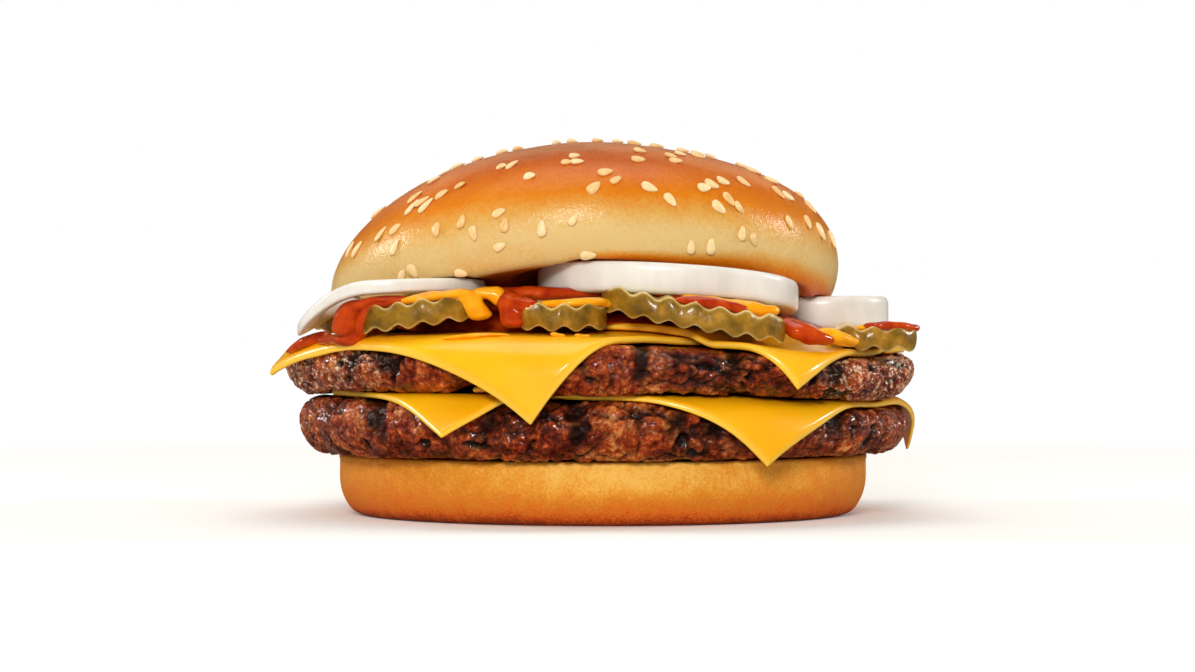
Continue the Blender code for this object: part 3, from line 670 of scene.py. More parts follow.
cheddar, tree, place = fresh_material("melted_processed_cheddar")
clouds = put(tree, "TexNoise", {"Vector": place, "Scale": 1.0 / (16.0 * MM), "Detail": 2.0})
tint = put(tree, "ValToRGB", {"Fac": clouds}, stops=((0.3, "#FEB006"), (0.7, "#FFC00C")))
# Painted highlight: the colour is lighter along the rounded edges.
cut_edge = put(tree, "Attribute", attribute_name="cut_edge").outputs["Fac"]
whole = put(tree, "Mix", {"Factor": cut_edge, 6: tint, 7: "#FFCE4A"}, data_type="RGBA")
skin = put(tree, "TexNoise", {"Vector": place, "Scale": 1.0 / (2.5 * MM), "Detail": 2.0})
bump = put(tree, "Bump", {"Height": skin, "Distance": 0.05 * MM, "Strength": 0.6})
sheen = put(tree, "MapRange", {
    "Value": skin, "From Min": 0.3, "From Max": 0.7, "To Min": 0.28, "To Max": 0.38})
shader = put(tree, "BsdfPrincipled", {
    "Base Color": whole.outputs[2], "Roughness": sheen, "IOR": 1.45,
    "Specular IOR Level": 0.3, "Coat Weight": 0.5, "Coat Roughness": 0.16, "Subsurface Weight": 0.2,
    "Subsurface Radius": (1.0, 0.6, 0.15), "Subsurface Scale": 1.0 * MM, "Normal": bump,
})
put(tree, "OutputMaterial", {"Surface": shader})

on_lower = (lower_top, lower_outline, LOWER_DROOP)
on_upper = (upper_top, upper_outline, UPPER_DROOP)
for node, corners, below, thickness, drape, seed in (
    ("cheese_lower_left", LOWER_LEFT_SLICE, None, LOWER_CHEESE, on_lower, 501),
    ("cheese_lower_right", LOWER_RIGHT_SLICE, LOWER_LEFT_SLICE, LOWER_CHEESE, on_lower, 511),
    ("cheese_upper_left", UPPER_LEFT_SLICE, None, UPPER_CHEESE, on_upper, 521),
    ("cheese_upper_right", UPPER_RIGHT_SLICE, UPPER_LEFT_SLICE, UPPER_CHEESE, on_upper, 531),
):
    name = node.replace("cheese_", "") + "_slice"
    slice_piece = melting_slice(name, corners, below, thickness, drape, seed)
    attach(slice_piece, "root")
    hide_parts(node)

# Pickles: crinkle-cut slices of pickled gherkin, with olive-green skin round the rim and paler,
# wet, see-through flesh on the cut faces. The waves run from front to back.
# Each is an oval sheet with rounded edges, bent into waves and tilted as it lies.
CRINKLE_PITCH = 4.6
CRINKLE_DEPTH = 0.5
PICKLE_EDGE = 0.9
OVAL_END = 0.985  # share of an oval's half width where its sheet ends, just short of a point
# middle x, y and z, half width, half depth, thickness, tilt down to the right, tilt down to the front
PICKLES = {
    "pickle_left": (-33.4, -38.5, 39.7, 12.2, 11.5, 4.3, -7.5, 1),
    "pickle_middle": (-7.5, -46, 39.2, 8.3, 10, 4.2, 0, 4),
    "pickle_right": (16.8, -43.5, 39.7, 17.4, 12.5, 4.3, 10, 4.5),
    "pickle_far_right": (51.6, -26, 35, 8.6, 8, 3.9, 1.5, 2.5),
    "pickle_far_left": (-50.4, -14, 38.6, 6.2, 7.5, 4.4, -4, 0),
    "pickle_back_left": (-28, 42, 38, 12.5, 9, 4.4, -2, -4),
    "pickle_back_right": (20, 43, 38.4, 14, 9, 4.4, 3, -4),
}


def crinkle_slice(name, mx, my, mz, half_width, half_depth, thickness, right, front, seed):
    """A pickle slice: shares u and v go to x and to y over an oval whose columns stay parallel,
    and the height follows a cosine across x."""
    across, across_round = crowded(2.0 * half_width, PICKLE_EDGE, 90)
    along, along_round = crowded(2.0 * half_depth, PICKLE_EDGE, 44)
    u, v = np.meshgrid(OVAL_END * across, along)
    full = across_round[None, :] * along_round[:, None]
    x = mx + half_width * u
    y = my + half_depth * v * np.sqrt(1.0 - u * u)
    tilt = -math.tan(math.radians(right)) * (x - mx) + math.tan(math.radians(front)) * (y - my)
    unsteady = 0.6 * noise(x[..., None] * (1.0, 0.0, 0.0), 9.0, seed)
    z = mz + tilt + CRINKLE_DEPTH * np.cos(math.tau * (x - mx) / CRINKLE_PITCH + unsteady)
    flesh = np.stack([x, y, z], axis=-1)
    ragged = 0.16 * noise(flesh, 2.4, seed) + 0.10 * noise(flesh, 0.9, seed + 1)
    y = y + (0.5 * noise(flesh * (1.0, 0.0, 0.0), 5.0, seed + 2) + ragged) * np.sign(v) * np.abs(v) ** 3
    half = thickness / 2.0 * full + 0.1 * ragged
    faces = [np.stack([x, y, z + side * half], axis=-1) for side in (-1.0, 1.0)]
    peel = 1.0 - eased((full - 0.80) / 0.25)
    return pillow(name, *faces, gherkin, peel=peel)


gherkin, tree, place = fresh_material("pickled_gherkin")
peel = put(tree, "Attribute", attribute_name="peel").outputs["Fac"]
blotch = put(tree, "TexNoise", {"Vector": place, "Scale": 1.0 / (4.0 * MM), "Detail": 4.0, "Roughness": 0.6})
fibre = put(tree, "TexNoise", {"Vector": place, "Scale": 1.0 / (0.8 * MM), "Detail": 2.0})
skin_tint = put(tree, "ValToRGB", {"Fac": blotch}, stops=(
    (0.3, "#5A420E"), (0.43, "#7A5A12"), (0.57, "#98701A"), (0.72, "#BC8C2E")))
flesh_tint = put(tree, "ValToRGB", {"Fac": blotch}, stops=(
    (0.3, "#D8B450"), (0.5, "#ECD080"), (0.7, "#F8E8B4")))
tint = put(tree, "Mix", {"Factor": peel, 6: flesh_tint, 7: skin_tint}, data_type="RGBA")
bump = put(tree, "Bump", {"Height": fibre, "Distance": 0.12 * MM, "Strength": 0.7})
shader = put(tree, "BsdfPrincipled", {
    "Base Color": tint.outputs[2], "Roughness": 0.30, "IOR": 1.38, "Specular IOR Level": 0.5,
    "Subsurface Weight": 0.2, "Subsurface Radius": (1.0, 0.8, 0.2), "Subsurface Scale": 1.0 * MM,
    "Coat Weight": 0.25, "Coat Roughness": 0.12, "Normal": bump,
})
put(tree, "OutputMaterial", {"Surface": shader})
for seed, (node, spec) in enumerate(PICKLES.items()):
    pickle_piece = crinkle_slice(node.replace("pickle", "gherkin"), *spec, 600 + 10 * seed)
    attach(pickle_piece, "root")
    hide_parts(node)

# Sauces: ketchup and mustard squeezed over the pickles, so that they lie in glossy streaks on top,
# fill the gaps between the slices and run over their edges onto the cheese.
# Each streak is a row of drops along a route, which a fine remesh melts into one skin.
SAUCE_VOXEL = 0.28
SAUCE_SMOOTHING = 14
SAUCE_UNEVEN = 0.22
DROP_STEP = 0.7
ABOVE_ALL = 90.0
# Routes of points: x, y, z, half width and half height of the streak. Where z is left out, the
# streak lies on what is under it.
KETCHUP = {
    "ketchup_left": (
        ((-48.2, -40.6, 36.6, 2.8, 1.6), (-48, -41.4, 38.8, 2.7, 1.8), (-46.8, -42.2, 40.5, 2.4, 1.4),
         (-43.6, -43.4, 41.6, 2.2, 0.9), (-40.4, -44.6, 41.9, 2, 0.8), (-37.6, -44.8, 42.3, 1.2, 0.5)),),
    "ketchup_middle": (
        ((-18.4, -43, 43.2, 2.2, 1.2), (-17.6, -46, 41.8, 2.5, 1.6), (-17, -47.5, 39.6, 2.4, 1.8),
         (-16.6, -48.5, 37.8, 2.8, 1.2)),
        ((-18.6, -41, 43.2, 2, 1.2), (-14.5, -42.5, 43.2, 2.8, 1.4), (-10, -42, 43.2, 2.8, 1.3),
         (-4, -41, 43.2, 2.6, 1.2), (2, -40, 43.2, 2.2, 1.1), (7, -40, 43.4, 1.8, 1)),
        ((-15.6, -48, 41.2, 2.2, 1.5), (-13.4, -50, 40.6, 1.7, 1.4))),
    "ketchup_right": (
        ((34.6, -43, 37.4, 2.2, 1.2), (36.6, -44.4, 36, 2.7, 1.6), (39, -44, 35, 2.7, 1.5),
         (41.2, -42.4, 34.4, 2, 1.1)),),
    "ketchup_back": (
        ((-8, 47, 2.4, 1), (-4, 48.5, 3.6, 1.6), (0.6, 49, 2.4, 1.1)),),
}
MUSTARD = {
    "mustard_left": (
        ((-38, -45.4, 1.4, 0.5), (-34, -46.6, 2.6, 0.9), (-30, -46.8, 2.6, 1),
         (-26, -46, 2.6, 1.1), (-22.4, -45, 43.2, 2.5, 1.1)),
        ((-22.4, -45, 43.3, 2.5, 1.1), (-20, -45.4, 43, 2.2, 1.4), (-19.2, -45.8, 41.8, 1.7, 1.2))),
    "mustard_back": (
        ((36, 38, 2.2, 0.9), (39.5, 36, 3.6, 1.5), (43, 33, 2.2, 0.9)),),
}
KETCHUP_SMEARS = (
    ((-60.6, -22, 0.8, 0.4), (-58.6, -24, 1.7, 0.8), (-56, -26.5, 2.2, 1.1),
     (-53.4, -28, 1.8, 1.2)),
    ((-53, -31, 1.6, 0.8), (-48.6, -38, 2.2, 1.3), (-44, -42.6, 2.2, 1.2),
     (-38, -46, 1.6, 0.7)),
    ((4, -43, 1.7, 1), (9, -45, 1.8, 1), (14, -46.5, 1.6, 0.9)),
    ((13.4, -52.2, 1, 0.5), (17, -52.6, 2.2, 1.1), (21, -52.2, 2.4, 1.2),
     (25.4, -50.6, 1.5, 0.8)),
    ((50.5, -32, 1.2, 0.6), (53.5, -32.2, 1.8, 0.9), (57, -30.2, 1.7, 0.9),
     (59.6, -27.6, 1.2, 0.8)),
)
MUSTARD_SMEARS = (
    ((-10.6, -50.6, 1.4, 0.7), (-7, -52, 2.1, 0.9), (-3, -51.6, 2.2, 0.9),
     (0, -48, 2, 1)),
    ((16, -48, 1.8, 1), (22, -48.4, 2.3, 1.2), (27, -48, 2.5, 1.3),
     (31.2, -45.6, 1.9, 1)),
    ((41.4, -42, 35.8, 1.9, 1.1), (43.6, -40.6, 35, 2.4, 1.3), (46.4, -38, 34, 1.9, 0.9)),
    ((49, -30.4, 1.2, 0.5), (52.6, -30.6, 1.9, 0.8), (55.4, -29.4, 1.4, 0.6)),
    ((-29, -52.6, 0.9, 0.35), (-24, -53.8, 1.4, 0.5), (-20, -54.4, 1.2, 0.4),
     (-17.6, -54.6, 0.8, 0.3)),
    ((-9, -56.6, 1, 0.5), (-7.4, -56.8, 0.8, 0.4)),
    ((-4.6, -57, 1, 0.5), (-3, -57, 0.8, 0.4)),
)


def height_under(x, y):
    """Height of the cheese, pickle or mound of sauce under a point, by a ray straight down."""
    start = in_frame((x, y, ABOVE_ALL)).tolist()
    struck = [carrier.ray_cast(start, (0.0, 0.0, -1.0)) for carrier in carriers]
    return max([place.z / MM for hit, place, _, _ in struck if hit], default=math.nan)


def streak(route):
    """Drops along a route, one every DROP_STEP: place and half sizes. The sizes follow the route.
    The lying ones are sunk by half into what is under them, levelled over seven drops."""
    route = np.array([point if len(point) == 5 else (*point[:2], math.nan, *point[2:]) for point in route])
    fall = np.abs(np.nan_to_num(np.diff(route[:, 2])))
    steps = np.linalg.norm(np.diff(route[:, :2], axis=0), axis=1) + fall
    gone = np.concatenate([[0.0], np.cumsum(steps)])
    at = np.linspace(0.0, gone[-1], max(2, round(gone[-1] / DROP_STEP)))
    x, y, z, half_width, half_height = (np.interp(at, gone, column) for column in route.T)
    under = np.array([height_under(*place) for place in zip(x, y)])
    struck = ~np.isnan(under)
    if np.isnan(z).any():
        under = np.interp(at, at[struck], under[struck])
        under = np.convolve(np.pad(under, 3, mode="edge"), np.full(7, 1.0 / 7.0), mode="valid")
        z = np.where(np.isnan(z), under + 0.5 * half_height, z)
    return np.stack([x, y, z, half_width, half_width, half_height], axis=-1)


def drop(x, y, z, half_width, half_depth, half_height):
    """Rings of an ellipsoid."""
    up = np.linspace(-math.pi / 2.0, math.pi / 2.0, 11)[1:-1]
    unit = on_turn(np.cos(up), np.sin(up), 16)
    return unit * (half_width, half_depth, half_height) + (x, y, z)


def poured(name, routes, finish, seed):
    """Melts overlapping drops into one skin: their meshes are joined, remeshed, smoothed, and
    then given a faint unevenness."""
    parts = [turned_piece(name, drop(*spec), finish) for route in routes for spec in streak(route)]
    with bpy.context.temp_override(active_object=parts[0], selected_editable_objects=parts):
        bpy.ops.object.join()
    sauce = parts[0]
    melt = sauce.modifiers.new("melt", "REMESH")
    melt.mode = "VOXEL"
    melt.voxel_size = SAUCE_VOXEL * MM
    soft = sauce.modifiers.new("soft", "SMOOTH")
    soft.factor = 0.5
    soft.iterations = SAUCE_SMOOTHING
    shaped = bpy.data.meshes.new_from_object(sauce.evaluated_get(bpy.context.evaluated_depsgraph_get()))
    sauce.modifiers.clear()
    sauce.data = shaped
    points = np.empty(len(shaped.vertices) * 3)
    shaped.vertices.foreach_get("co", points)
    points = points.reshape(-1, 3)
    uneven = np.stack([noise(points / MM, 2.6, seed + axis) for axis in range(3)], axis=-1)
    shaped.vertices.foreach_set("co", (points + SAUCE_UNEVEN * MM * uneven).ravel())
    shaped.shade_smooth()
    return sauce


def sauce_finish(name, thin, thick, roughness):
    """Smooth glossy sauce: a strong colour that thins at places, and a wet mirror-like skin."""
    made, tree, place = fresh_material(name)
    swirl = put(tree, "TexNoise", {"Vector": place, "Scale": 1.0 / (3.0 * MM), "Detail": 3.0})
    tint = put(tree, "ValToRGB", {"Fac": swirl}, stops=((0.3, thick), (0.7, thin)))
    bump = put(tree, "Bump", {"Height": swirl, "Distance": 0.25 * MM, "Strength": 0.5})
    shader = put(tree, "BsdfPrincipled", {
        "Base Color": tint, "Roughness": roughness, "IOR": 1.45,
        "Specular IOR Level": 0.4, "Subsurface Weight": 0.2, "Subsurface Radius": (1.0, 0.3, 0.1),
        "Subsurface Scale": 1.0 * MM, "Normal": bump,
    })
    put(tree, "OutputMaterial", {"Surface": shader})
    return made


tomato = sauce_finish("tomato_ketchup", "#CC4A0C", "#9E2206", 0.14)
yellow = sauce_finish("yellow_mustard", "#FFB81E", "#F29A08", 0.18)

# The sauces also fill the middle of the burger between the front and the back pickles. This mound
# is an uneven sheet on the cheese that thins to nothing at its outline.
MOUND_MIDDLE = (-1.0, 0.0)
MOUND_HALF_WIDTH = 49.0
MOUND_HALF_DEPTH = 43.0
MOUND_HEIGHT = 4.6
MOUND_EDGE = 3.0
MOUND_SUNK = 0.2


def cheese_top(x, y):
    """Height of the cheese under the toppings."""
    slices = slice_share(UPPER_LEFT_SLICE, x, y) + slice_share(UPPER_RIGHT_SLICE, x, y)
    return upper_top(x, y) + GAP + (UPPER_CHEESE + GAP) * slices


across, across_round = crowded(2.0 * MOUND_HALF_WIDTH, MOUND_EDGE, 90)
along, along_round = crowded(2.0 * MOUND_HALF_DEPTH, MOUND_EDGE, 80)
u, v = np.meshgrid(OVAL_END * across, along)
x = MOUND_MIDDLE[0] + MOUND_HALF_WIDTH * u
y = MOUND_MIDDLE[1] + MOUND_HALF_DEPTH * v * np.sqrt(1.0 - u * u)
bed = cheese_top(x, y) - MOUND_SUNK
spot = np.stack([x, y, 0.0 * x], axis=-1)
out_share = np.hypot(u, v * np.sqrt(1.0 - u * u))
lumpy = 0.85 + 0.20 * noise(spot, 9.0, 731) + 0.10 * noise(spot, 3.5, 732)
rise = MOUND_HEIGHT * (1.0 - out_share ** 4) * lumpy
swelled = np.maximum(rise, 0.0) * across_round[None, :] * along_round[:, None]
mound_low = np.stack([x, y, bed], axis=-1)
mound_high = np.stack([x, y, bed + swelled], axis=-1)
mound_piece = pillow("ketchup_mound", mound_low, mound_high, tomato)
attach(mound_piece, "root")

carriers = [mound_piece] + [made for made in scene.objects if made.name.startswith(("upper_", "gherkin"))]
bpy.context.view_layer.update()
for finish, slot, sauces in ((tomato, "ketchup", KETCHUP), (yellow, "mustard", MUSTARD)):
    for seed, (node, routes) in enumerate(sauces.items()):
        sauce_piece = poured(node.replace("_", "_dollop_"), routes, finish, 700 + seed)
        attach(sauce_piece, "root")
        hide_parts(node)
for name, finish, slot, routes in (
    ("ketchup_smears", tomato, "ketchup", KETCHUP_SMEARS),
    ("mustard_smears", yellow, "mustard", MUSTARD_SMEARS),
):
    smear_piece = poured(name, routes, finish, 720)
    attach(smear_piece, "root")

# Onions: thick raw rings cut across a white onion. The wall is smooth, wet and see-through enough
# to look milky, with faint lines along it, and the cut top shows its grain.
# Each is a rounded section carried round an oval, tilted as it lies and bent where it hangs.
ONION_WALL = 4.6
ONION_COLUMNS = 260
ONION_CORNERS = (0.45, 0.4)  # powers that make the section squarish: 1 is round and 0 square
# middle x, middle y, top z at the middle, half width, half depth, height, tilt down to the right,
# tilt down to the back
ONIONS = {
    "onion_left": (-40.4, -30, 44.8, 17.9, 17, 2.6, -3, 3.4),
    "onion_right": (12.4, -27, 46.8, 25, 23.5, 5.8, 3.3, 5),
    "onion_far_right": (43.6, -2.5, 42.8, 13.2, 12.5, 6.4, -1, 1),
    "onion_back": (-6, 29, 43, 23, 17, 3, 1, 4),
}
ONION_DROOP_FROM = -44.0
ONION_DROOP = 0.032


def onion_top(spec, x, y):
    """Height of a ring's top over a point: a tilted plane that sinks where the ring hangs."""
    mx, my, mz, _, _, _, right, back = spec
    z = mz - math.tan(math.radians(right)) * (x - mx) - math.tan(math.radians(back)) * (y - my)
    return z - ONION_DROOP * np.maximum(ONION_DROOP_FROM - x, 0.0) ** 2


def ring_piece(name, spec, seed):
    """A ring: a squarish section with rounded corners, carried round the oval."""
    mx, my, _, half_width, half_depth, height, _, _ = spec
    turn = np.linspace(0.0, math.tau, 36, endpoint=False)[:, None]
    inward = 0.5 - 0.5 * np.sign(np.cos(turn)) * np.abs(np.cos(turn)) ** ONION_CORNERS[0]
    up = 0.5 + 0.5 * np.sign(np.sin(turn)) * np.abs(np.sin(turn)) ** ONION_CORNERS[1]
    a = np.linspace(0.0, math.tau, ONION_COLUMNS, endpoint=False)
    wave = 1.0 + 0.012 * np.sin(3.0 * a + seed) + 0.008 * np.sin(5.0 * a + 2.0 * seed)
    x = mx + (half_width * wave - ONION_WALL * inward) * np.cos(a)
    y = my + (half_depth * wave - ONION_WALL * inward) * np.sin(a)
    z = onion_top(spec, x, y) - height * (1.0 - up)
    rings = np.stack([x, y, z], axis=-1)
    rings = rings + facings(rings) * (0.04 * noise(rings * (1.0, 1.0, 0.3), 4.0, seed))[..., None]
    rows, columns, _ = rings.shape
    index = np.arange(rows * columns).reshape(rows, columns)
    ahead = np.roll(index, -1, axis=1)
    faces = np.stack([index, ahead, np.roll(ahead, -1, axis=0), np.roll(index, -1, axis=0)], axis=-1)
    return piece(name, rings, faces.reshape(-1, 4).tolist(), white_onion)


white_onion, tree, place = fresh_material("raw_white_onion")
stretch = put(tree, "Mapping", {"Vector": place, "Scale": (1.0, 1.0, 0.15)})
veins = put(tree, "TexNoise", {"Vector": stretch, "Scale": 1.0 / (1.6 * MM), "Detail": 2.0})
clouds = put(tree, "TexNoise", {"Vector": place, "Scale": 1.0 / (9.0 * MM), "Detail": 2.0})
level = put(tree, "Mix", {0: 0.2, 2: clouds, 3: veins})
tint = put(tree, "ValToRGB", {"Fac": level}, stops=((0.3, "#D8D6D0"), (0.6, "#EAE9E7")))
bump = put(tree, "Bump", {"Height": veins, "Distance": 0.03 * MM, "Strength": 0.5})
shader = put(tree, "BsdfPrincipled", {
    "Base Color": tint, "Roughness": 0.25, "IOR": 1.38, "Specular IOR Level": 0.5,
    "Subsurface Weight": 0.5, "Subsurface Radius": (1.0, 0.97, 0.92), "Subsurface Scale": 1.6 * MM,
    "Normal": bump,
})
put(tree, "OutputMaterial", {"Surface": shader})
for seed, (node, spec) in enumerate(ONIONS.items()):
    onion_piece = ring_piece(node.replace("onion", "onion_ring"), spec, 800 + seed)
    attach(onion_piece, "root")
    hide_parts(node)

# Bun crown: the domed half of the bun, glazed with egg and baked. The crust is smooth and satin,
# pale gold low on the sides, orange above and brown on top, and the cut face is toasted.
# It is turned from a profile, leant back and rolled as it lies, and dented by the onion under it.
CROWN_RADIUS = 50.9
CROWN_CUT_RADIUS = 46.5
CROWN_HEIGHT = 27.6
CROWN_WIDEST_HEIGHT = 8.0
CROWN_ROUNDNESS = 2.25
BULGE_SHARE = 0.16  # share of the crust's profile below its widest ring
LEFT_SHOULDER_IN = 0.17  # shares of the width by which the crown is drawn in
LEFT_TOP_IN = 0.14
RIGHT_TOP_IN = 0.2
CROWN_MIDDLE = (-3.7, 0.0, 44.4)
CROWN_TILT_BACK = 5.5
CROWN_ROLL = 1.6
CROWN_SAG = 2.7  # at 30 to either side of the onion that props it up
CROWN_COLUMNS = 620
TOP_SHARE = 0.985  # share of the profile where the rings end and the fan of the top begins
DENT_REACH = 5.0  # over this distance beside an onion the dented bread springs back by DENT_BACK
DENT_BACK = 3.0


def placed_crown(points):
    """Draws the crown in towards its top, most on the left, rolls it and leans it back, then lets
    its lower part sag to both sides of the onion that props it up."""
    x, y, z = np.moveaxis(points, -1, 0)
    up = z / CROWN_HEIGHT
    left_in = LEFT_SHOULDER_IN * eased((up - 0.15) / 0.8) + LEFT_TOP_IN * up ** 6
    x = x * (1.0 - np.where(x < 0.0, left_in, RIGHT_TOP_IN * up ** 4))
    back, roll = math.radians(CROWN_TILT_BACK), math.radians(CROWN_ROLL)
    x1, z1 = x * math.cos(roll) - z * math.sin(roll), x * math.sin(roll) + z * math.cos(roll)
    y2, z2 = y * math.cos(back) + z1 * math.sin(back), -y * math.sin(back) + z1 * math.cos(back)
    wx, wy, wz = CROWN_MIDDLE[0] + x1, CROWN_MIDDLE[1] + y2, CROWN_MIDDLE[2] + z2
    sag = CROWN_SAG * (np.abs(wx + 1.0) / 30.0) ** 1.8
    return np.stack([wx, wy, wz - sag * (1.0 - z / CROWN_HEIGHT)], axis=-1)


def crown_profile(share):
    """Radius and height of the crust from the cut edge, 0, to the top, 1: a short bulge out to the
    widest ring, then a dome that is a little squarer than an ellipse."""
    low = np.clip(share / BULGE_SHARE, 0.0, 1.0)
    a = np.clip((share - BULGE_SHARE) / (1.0 - BULGE_SHARE), 0.0, 1.0) * math.pi / 2.0
    bulge = (CROWN_RADIUS - CROWN_CUT_RADIUS) * np.sin(low * math.pi / 2.0) ** 0.6
    dome_radius = CROWN_RADIUS * np.cos(a) ** (2.0 / CROWN_ROUNDNESS)
    radius = np.where(share < BULGE_SHARE, CROWN_CUT_RADIUS + bulge, dome_radius)
    dome = (CROWN_HEIGHT - CROWN_WIDEST_HEIGHT) * np.sin(a) ** (2.0 / CROWN_ROUNDNESS)
    return radius, CROWN_WIDEST_HEIGHT * low + dome


def crown_swell(points):
    """Unevenness of the risen dough."""
    return 0.30 * noise(points, 26.0, 901) + 0.08 * noise(points, 8.0, 902) + 0.035 * noise(points, 2.6, 903)


cut = np.linspace(1.0, CROWN_CUT_RADIUS, 40)[:-1]
crust_radius, crust_height = crown_profile(np.linspace(0.0, TOP_SHARE, 104))
crown_radius = np.concatenate([cut, crust_radius])
crown_height = np.concatenate([0.0 * cut, crust_height])
crown = on_turn(crown_radius, crown_height, CROWN_COLUMNS)
on_crust = np.concatenate([0.0 * cut, np.ones(len(crust_radius))])[:, None]
crown = crown + facings(crown) * (crown_swell(crown) * on_crust)[..., None]
share_up = crown[..., 2] / CROWN_HEIGHT
crown_own = crown
crown = placed_crown(crown)
for spec in ONIONS.values():
    mx, my, _, half_width, half_depth, _, _, _ = spec
    x, y = crown[..., 0], crown[..., 1]
    oval = np.hypot((x - mx) / half_width, (y - my) / half_depth)
    past = (oval - 1.0) * min(half_width, half_depth)
    off = np.abs(past + ONION_WALL / 2.0) - ONION_WALL / 2.0
    clear = onion_top(spec, x, y) + GAP - DENT_BACK * np.clip(off / DENT_REACH, 0.0, None) ** 2
    lift = np.maximum(clear - crown[..., 2], 0.0) * (1.0 - eased(share_up / 0.25))
    crown[..., 2] = crown[..., 2] + lift
# The crust is browner with height, darker at both sides with painted shade, and darker low on the
# right, where it is partly toasted and partly painted shade; the cut face is evenly toasted.
# Partly toasted and partly painted shade: darker low on the right, growing towards the right.
toasted_rim = 1.0 - eased(share_up / (0.09 + 0.13 * eased((crown_own[..., 0] - 14.0) / 26.0)))
toasted_rim = toasted_rim * eased((crown_own[..., 0] + 6.0) / 12.0)
# Painted shade: the crust is darker towards both sides.
side_shade = eased((np.abs(crown_own[..., 0]) - 30.0) / 24.0)
browning = 0.47 * eased((share_up - 0.17) / 0.36) + 0.42 * eased((share_up - 0.42) / 0.5)
crown_baked = 0.05 + browning * (1.0 + 0.15 * side_shade) + 0.75 * toasted_rim
crown_baked = crown_baked + 0.06 * noise(crown_own, 12.0, 903)
crown_baked = np.where(on_crust > 0.5, crown_baked, 0.52 + 0.08 * noise(crown_own, 5.0, 904))
glazed_crust = baked_crust(
    "egg_glazed_crust",
    ((0.05, "#DCBF82"), (0.25, "#D8A450"), (0.48, "#D67C0E"),
     (0.68, "#CA660A"), (0.86, "#B85008"), (1.0, "#8E3A08")),
    mottle=0.08, mottle_size=5.0, grain_size=0.8, grain_depth=0.12, roughness=0.38, gloss=0.12, glaze=0.26,
)
crown_piece = turned_piece("top_bun", crown, glazed_crust, baked=crown_baked)
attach(crown_piece, "root")
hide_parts("bun_crown")

# Sesame seeds: hulled seeds strewn on the glaze before baking, so each lies flat and a little stuck
# in the crust. They are flat teardrops of about 3 by 1.9 mm, cream-coloured and toasted in patches.
# The seeds in view of the camera lie where the photograph has them, and the rest are strewn.
SEED_LENGTH = 3.1
SEED_WIDTH = 1.85
SEED_HEIGHT = 1.05
SEED_MIDDLE_UP = 0.24  # share of its height that a seed's middle is above the crust
SEED_TAPER = 0.38
SEED_SIZES = (0.88, 1.12)
SEED_LEAN = 0.12  # how far a seed leans off the crust, as a share of its facing
STREWN = 210
STREWN_REACH = 0.93  # share of the crown's radius that the strewn seeds cover
rng = np.random.default_rng(7)
# x and z where a seed is seen in the plane of the buns' axis, and the slope of its length there
SEEDS_IN_VIEW = (
    (-44.4, 55.6, 60), (-41.4, 56.6, 25), (-41.6, 53, 70), (-50.4, 52.6, 65), (-49, 52.6, 55),
    (-40.8, 62.2, 35), (-37.6, 62.8, 35), (-36.2, 62, 30), (-38.2, 60.8, 55), (-35.4, 61.2, 45),
    (-32.2, 63.5, 20), (-28.6, 65.2, 10), (-45.2, 60.2, 45), (-33.2, 56.4, -70), (-28.2, 58, 90),
    (-26, 55.8, -70), (-38, 48.2, -55), (-40.2, 47.4, 60), (-28.4, 47.8, -20), (-20.8, 59.8, 15),
    (-19.6, 57.4, 90), (-12.4, 56.7, 90), (-6, 58.4, 50), (-14.6, 67, 0), (-20.2, 68.9, 0),
    (-18.2, 69.2, 30), (-7.4, 69.8, 0), (-5.2, 69.9, 0), (-5.6, 71, 5), (-19.6, 71, 5), (-7.4, 71.8, 5),
    (-5.6, 72.6, 5), (-23.4, 69.9, 0), (-31.2, 67.6, 30), (-33.8, 66.2, 25), (-36.4, 65, 30),
    (-20.4, 53.2, 15), (-3, 51.4, 0), (-1.7, 64.8, 40), (0.4, 67.8, 10), (2.7, 66.3, 30), (7, 70.3, 3),
    (0.4, 72.5, 0), (2.8, 73, 0), (7.4, 72.1, -10), (10, 72.5, -5), (12.4, 72, -5), (13.6, 71, -5),
    (14.6, 70.1, -5), (15.6, 71.4, -5), (19.2, 71, -5), (22, 70.5, -10), (9.2, 64.8, -20),
    (13.4, 62.3, -50), (20.2, 64.7, 10), (21.8, 65.4, -15), (24, 66, -10), (23, 60.9, -35),
    (25.2, 62.4, -50), (27, 60.7, -45), (28, 65.8, -30), (29.4, 66.5, -70), (28.2, 68.8, -20),
    (30, 68, -20), (31.4, 67, -30), (33.8, 66, -20), (35, 63.7, -50), (37, 63, -20),
    (37.2, 57.8, -65), (40.8, 57.8, -75), (27.6, 55.8, 80), (30, 54.4, -60), (17.4, 53, 90),
    (21.4, 53.2, 85), (41.4, 60.8, -50), (43.4, 56, -60), (45.6, 54.4, -75), (-21, 75, 10),
    (-17.6, 75, 8), (-9.6, 76, 4), (-6.4, 76, 4), (-1, 76, 0), (3.2, 76, 0), (6.6, 76, -4),
    (11.2, 76, -4), (16.6, 75, -8), (19.8, 75, -8), (-30, 71, 20), (-26, 73, 14),
)
SEED_ROUND = 12
SMALL_STEP = 0.004  # of a turn and of the profile, between which a facing is measured


def on_crust_at(direction, share):
    """A point of the even crust, at a direction and a share of the profile."""
    radius, height = crown_profile(share)
    return np.stack([radius * np.cos(direction), radius * np.sin(direction), height], axis=-1)


def crust_spots(direction, share):
    """Points on the uneven crust and the facings there: the cross products of steps round and up."""
    own = on_crust_at(direction, share)
    up = on_crust_at(direction, share + SMALL_STEP) - on_crust_at(direction, share - SMALL_STEP)
    across = on_crust_at(direction + SMALL_STEP, share) - on_crust_at(direction - SMALL_STEP, share)
    facing = np.cross(across, up)
    facing = facing / np.linalg.norm(facing, axis=-1, keepdims=True)
    return own + facing * crown_swell(own)[:, None], facing


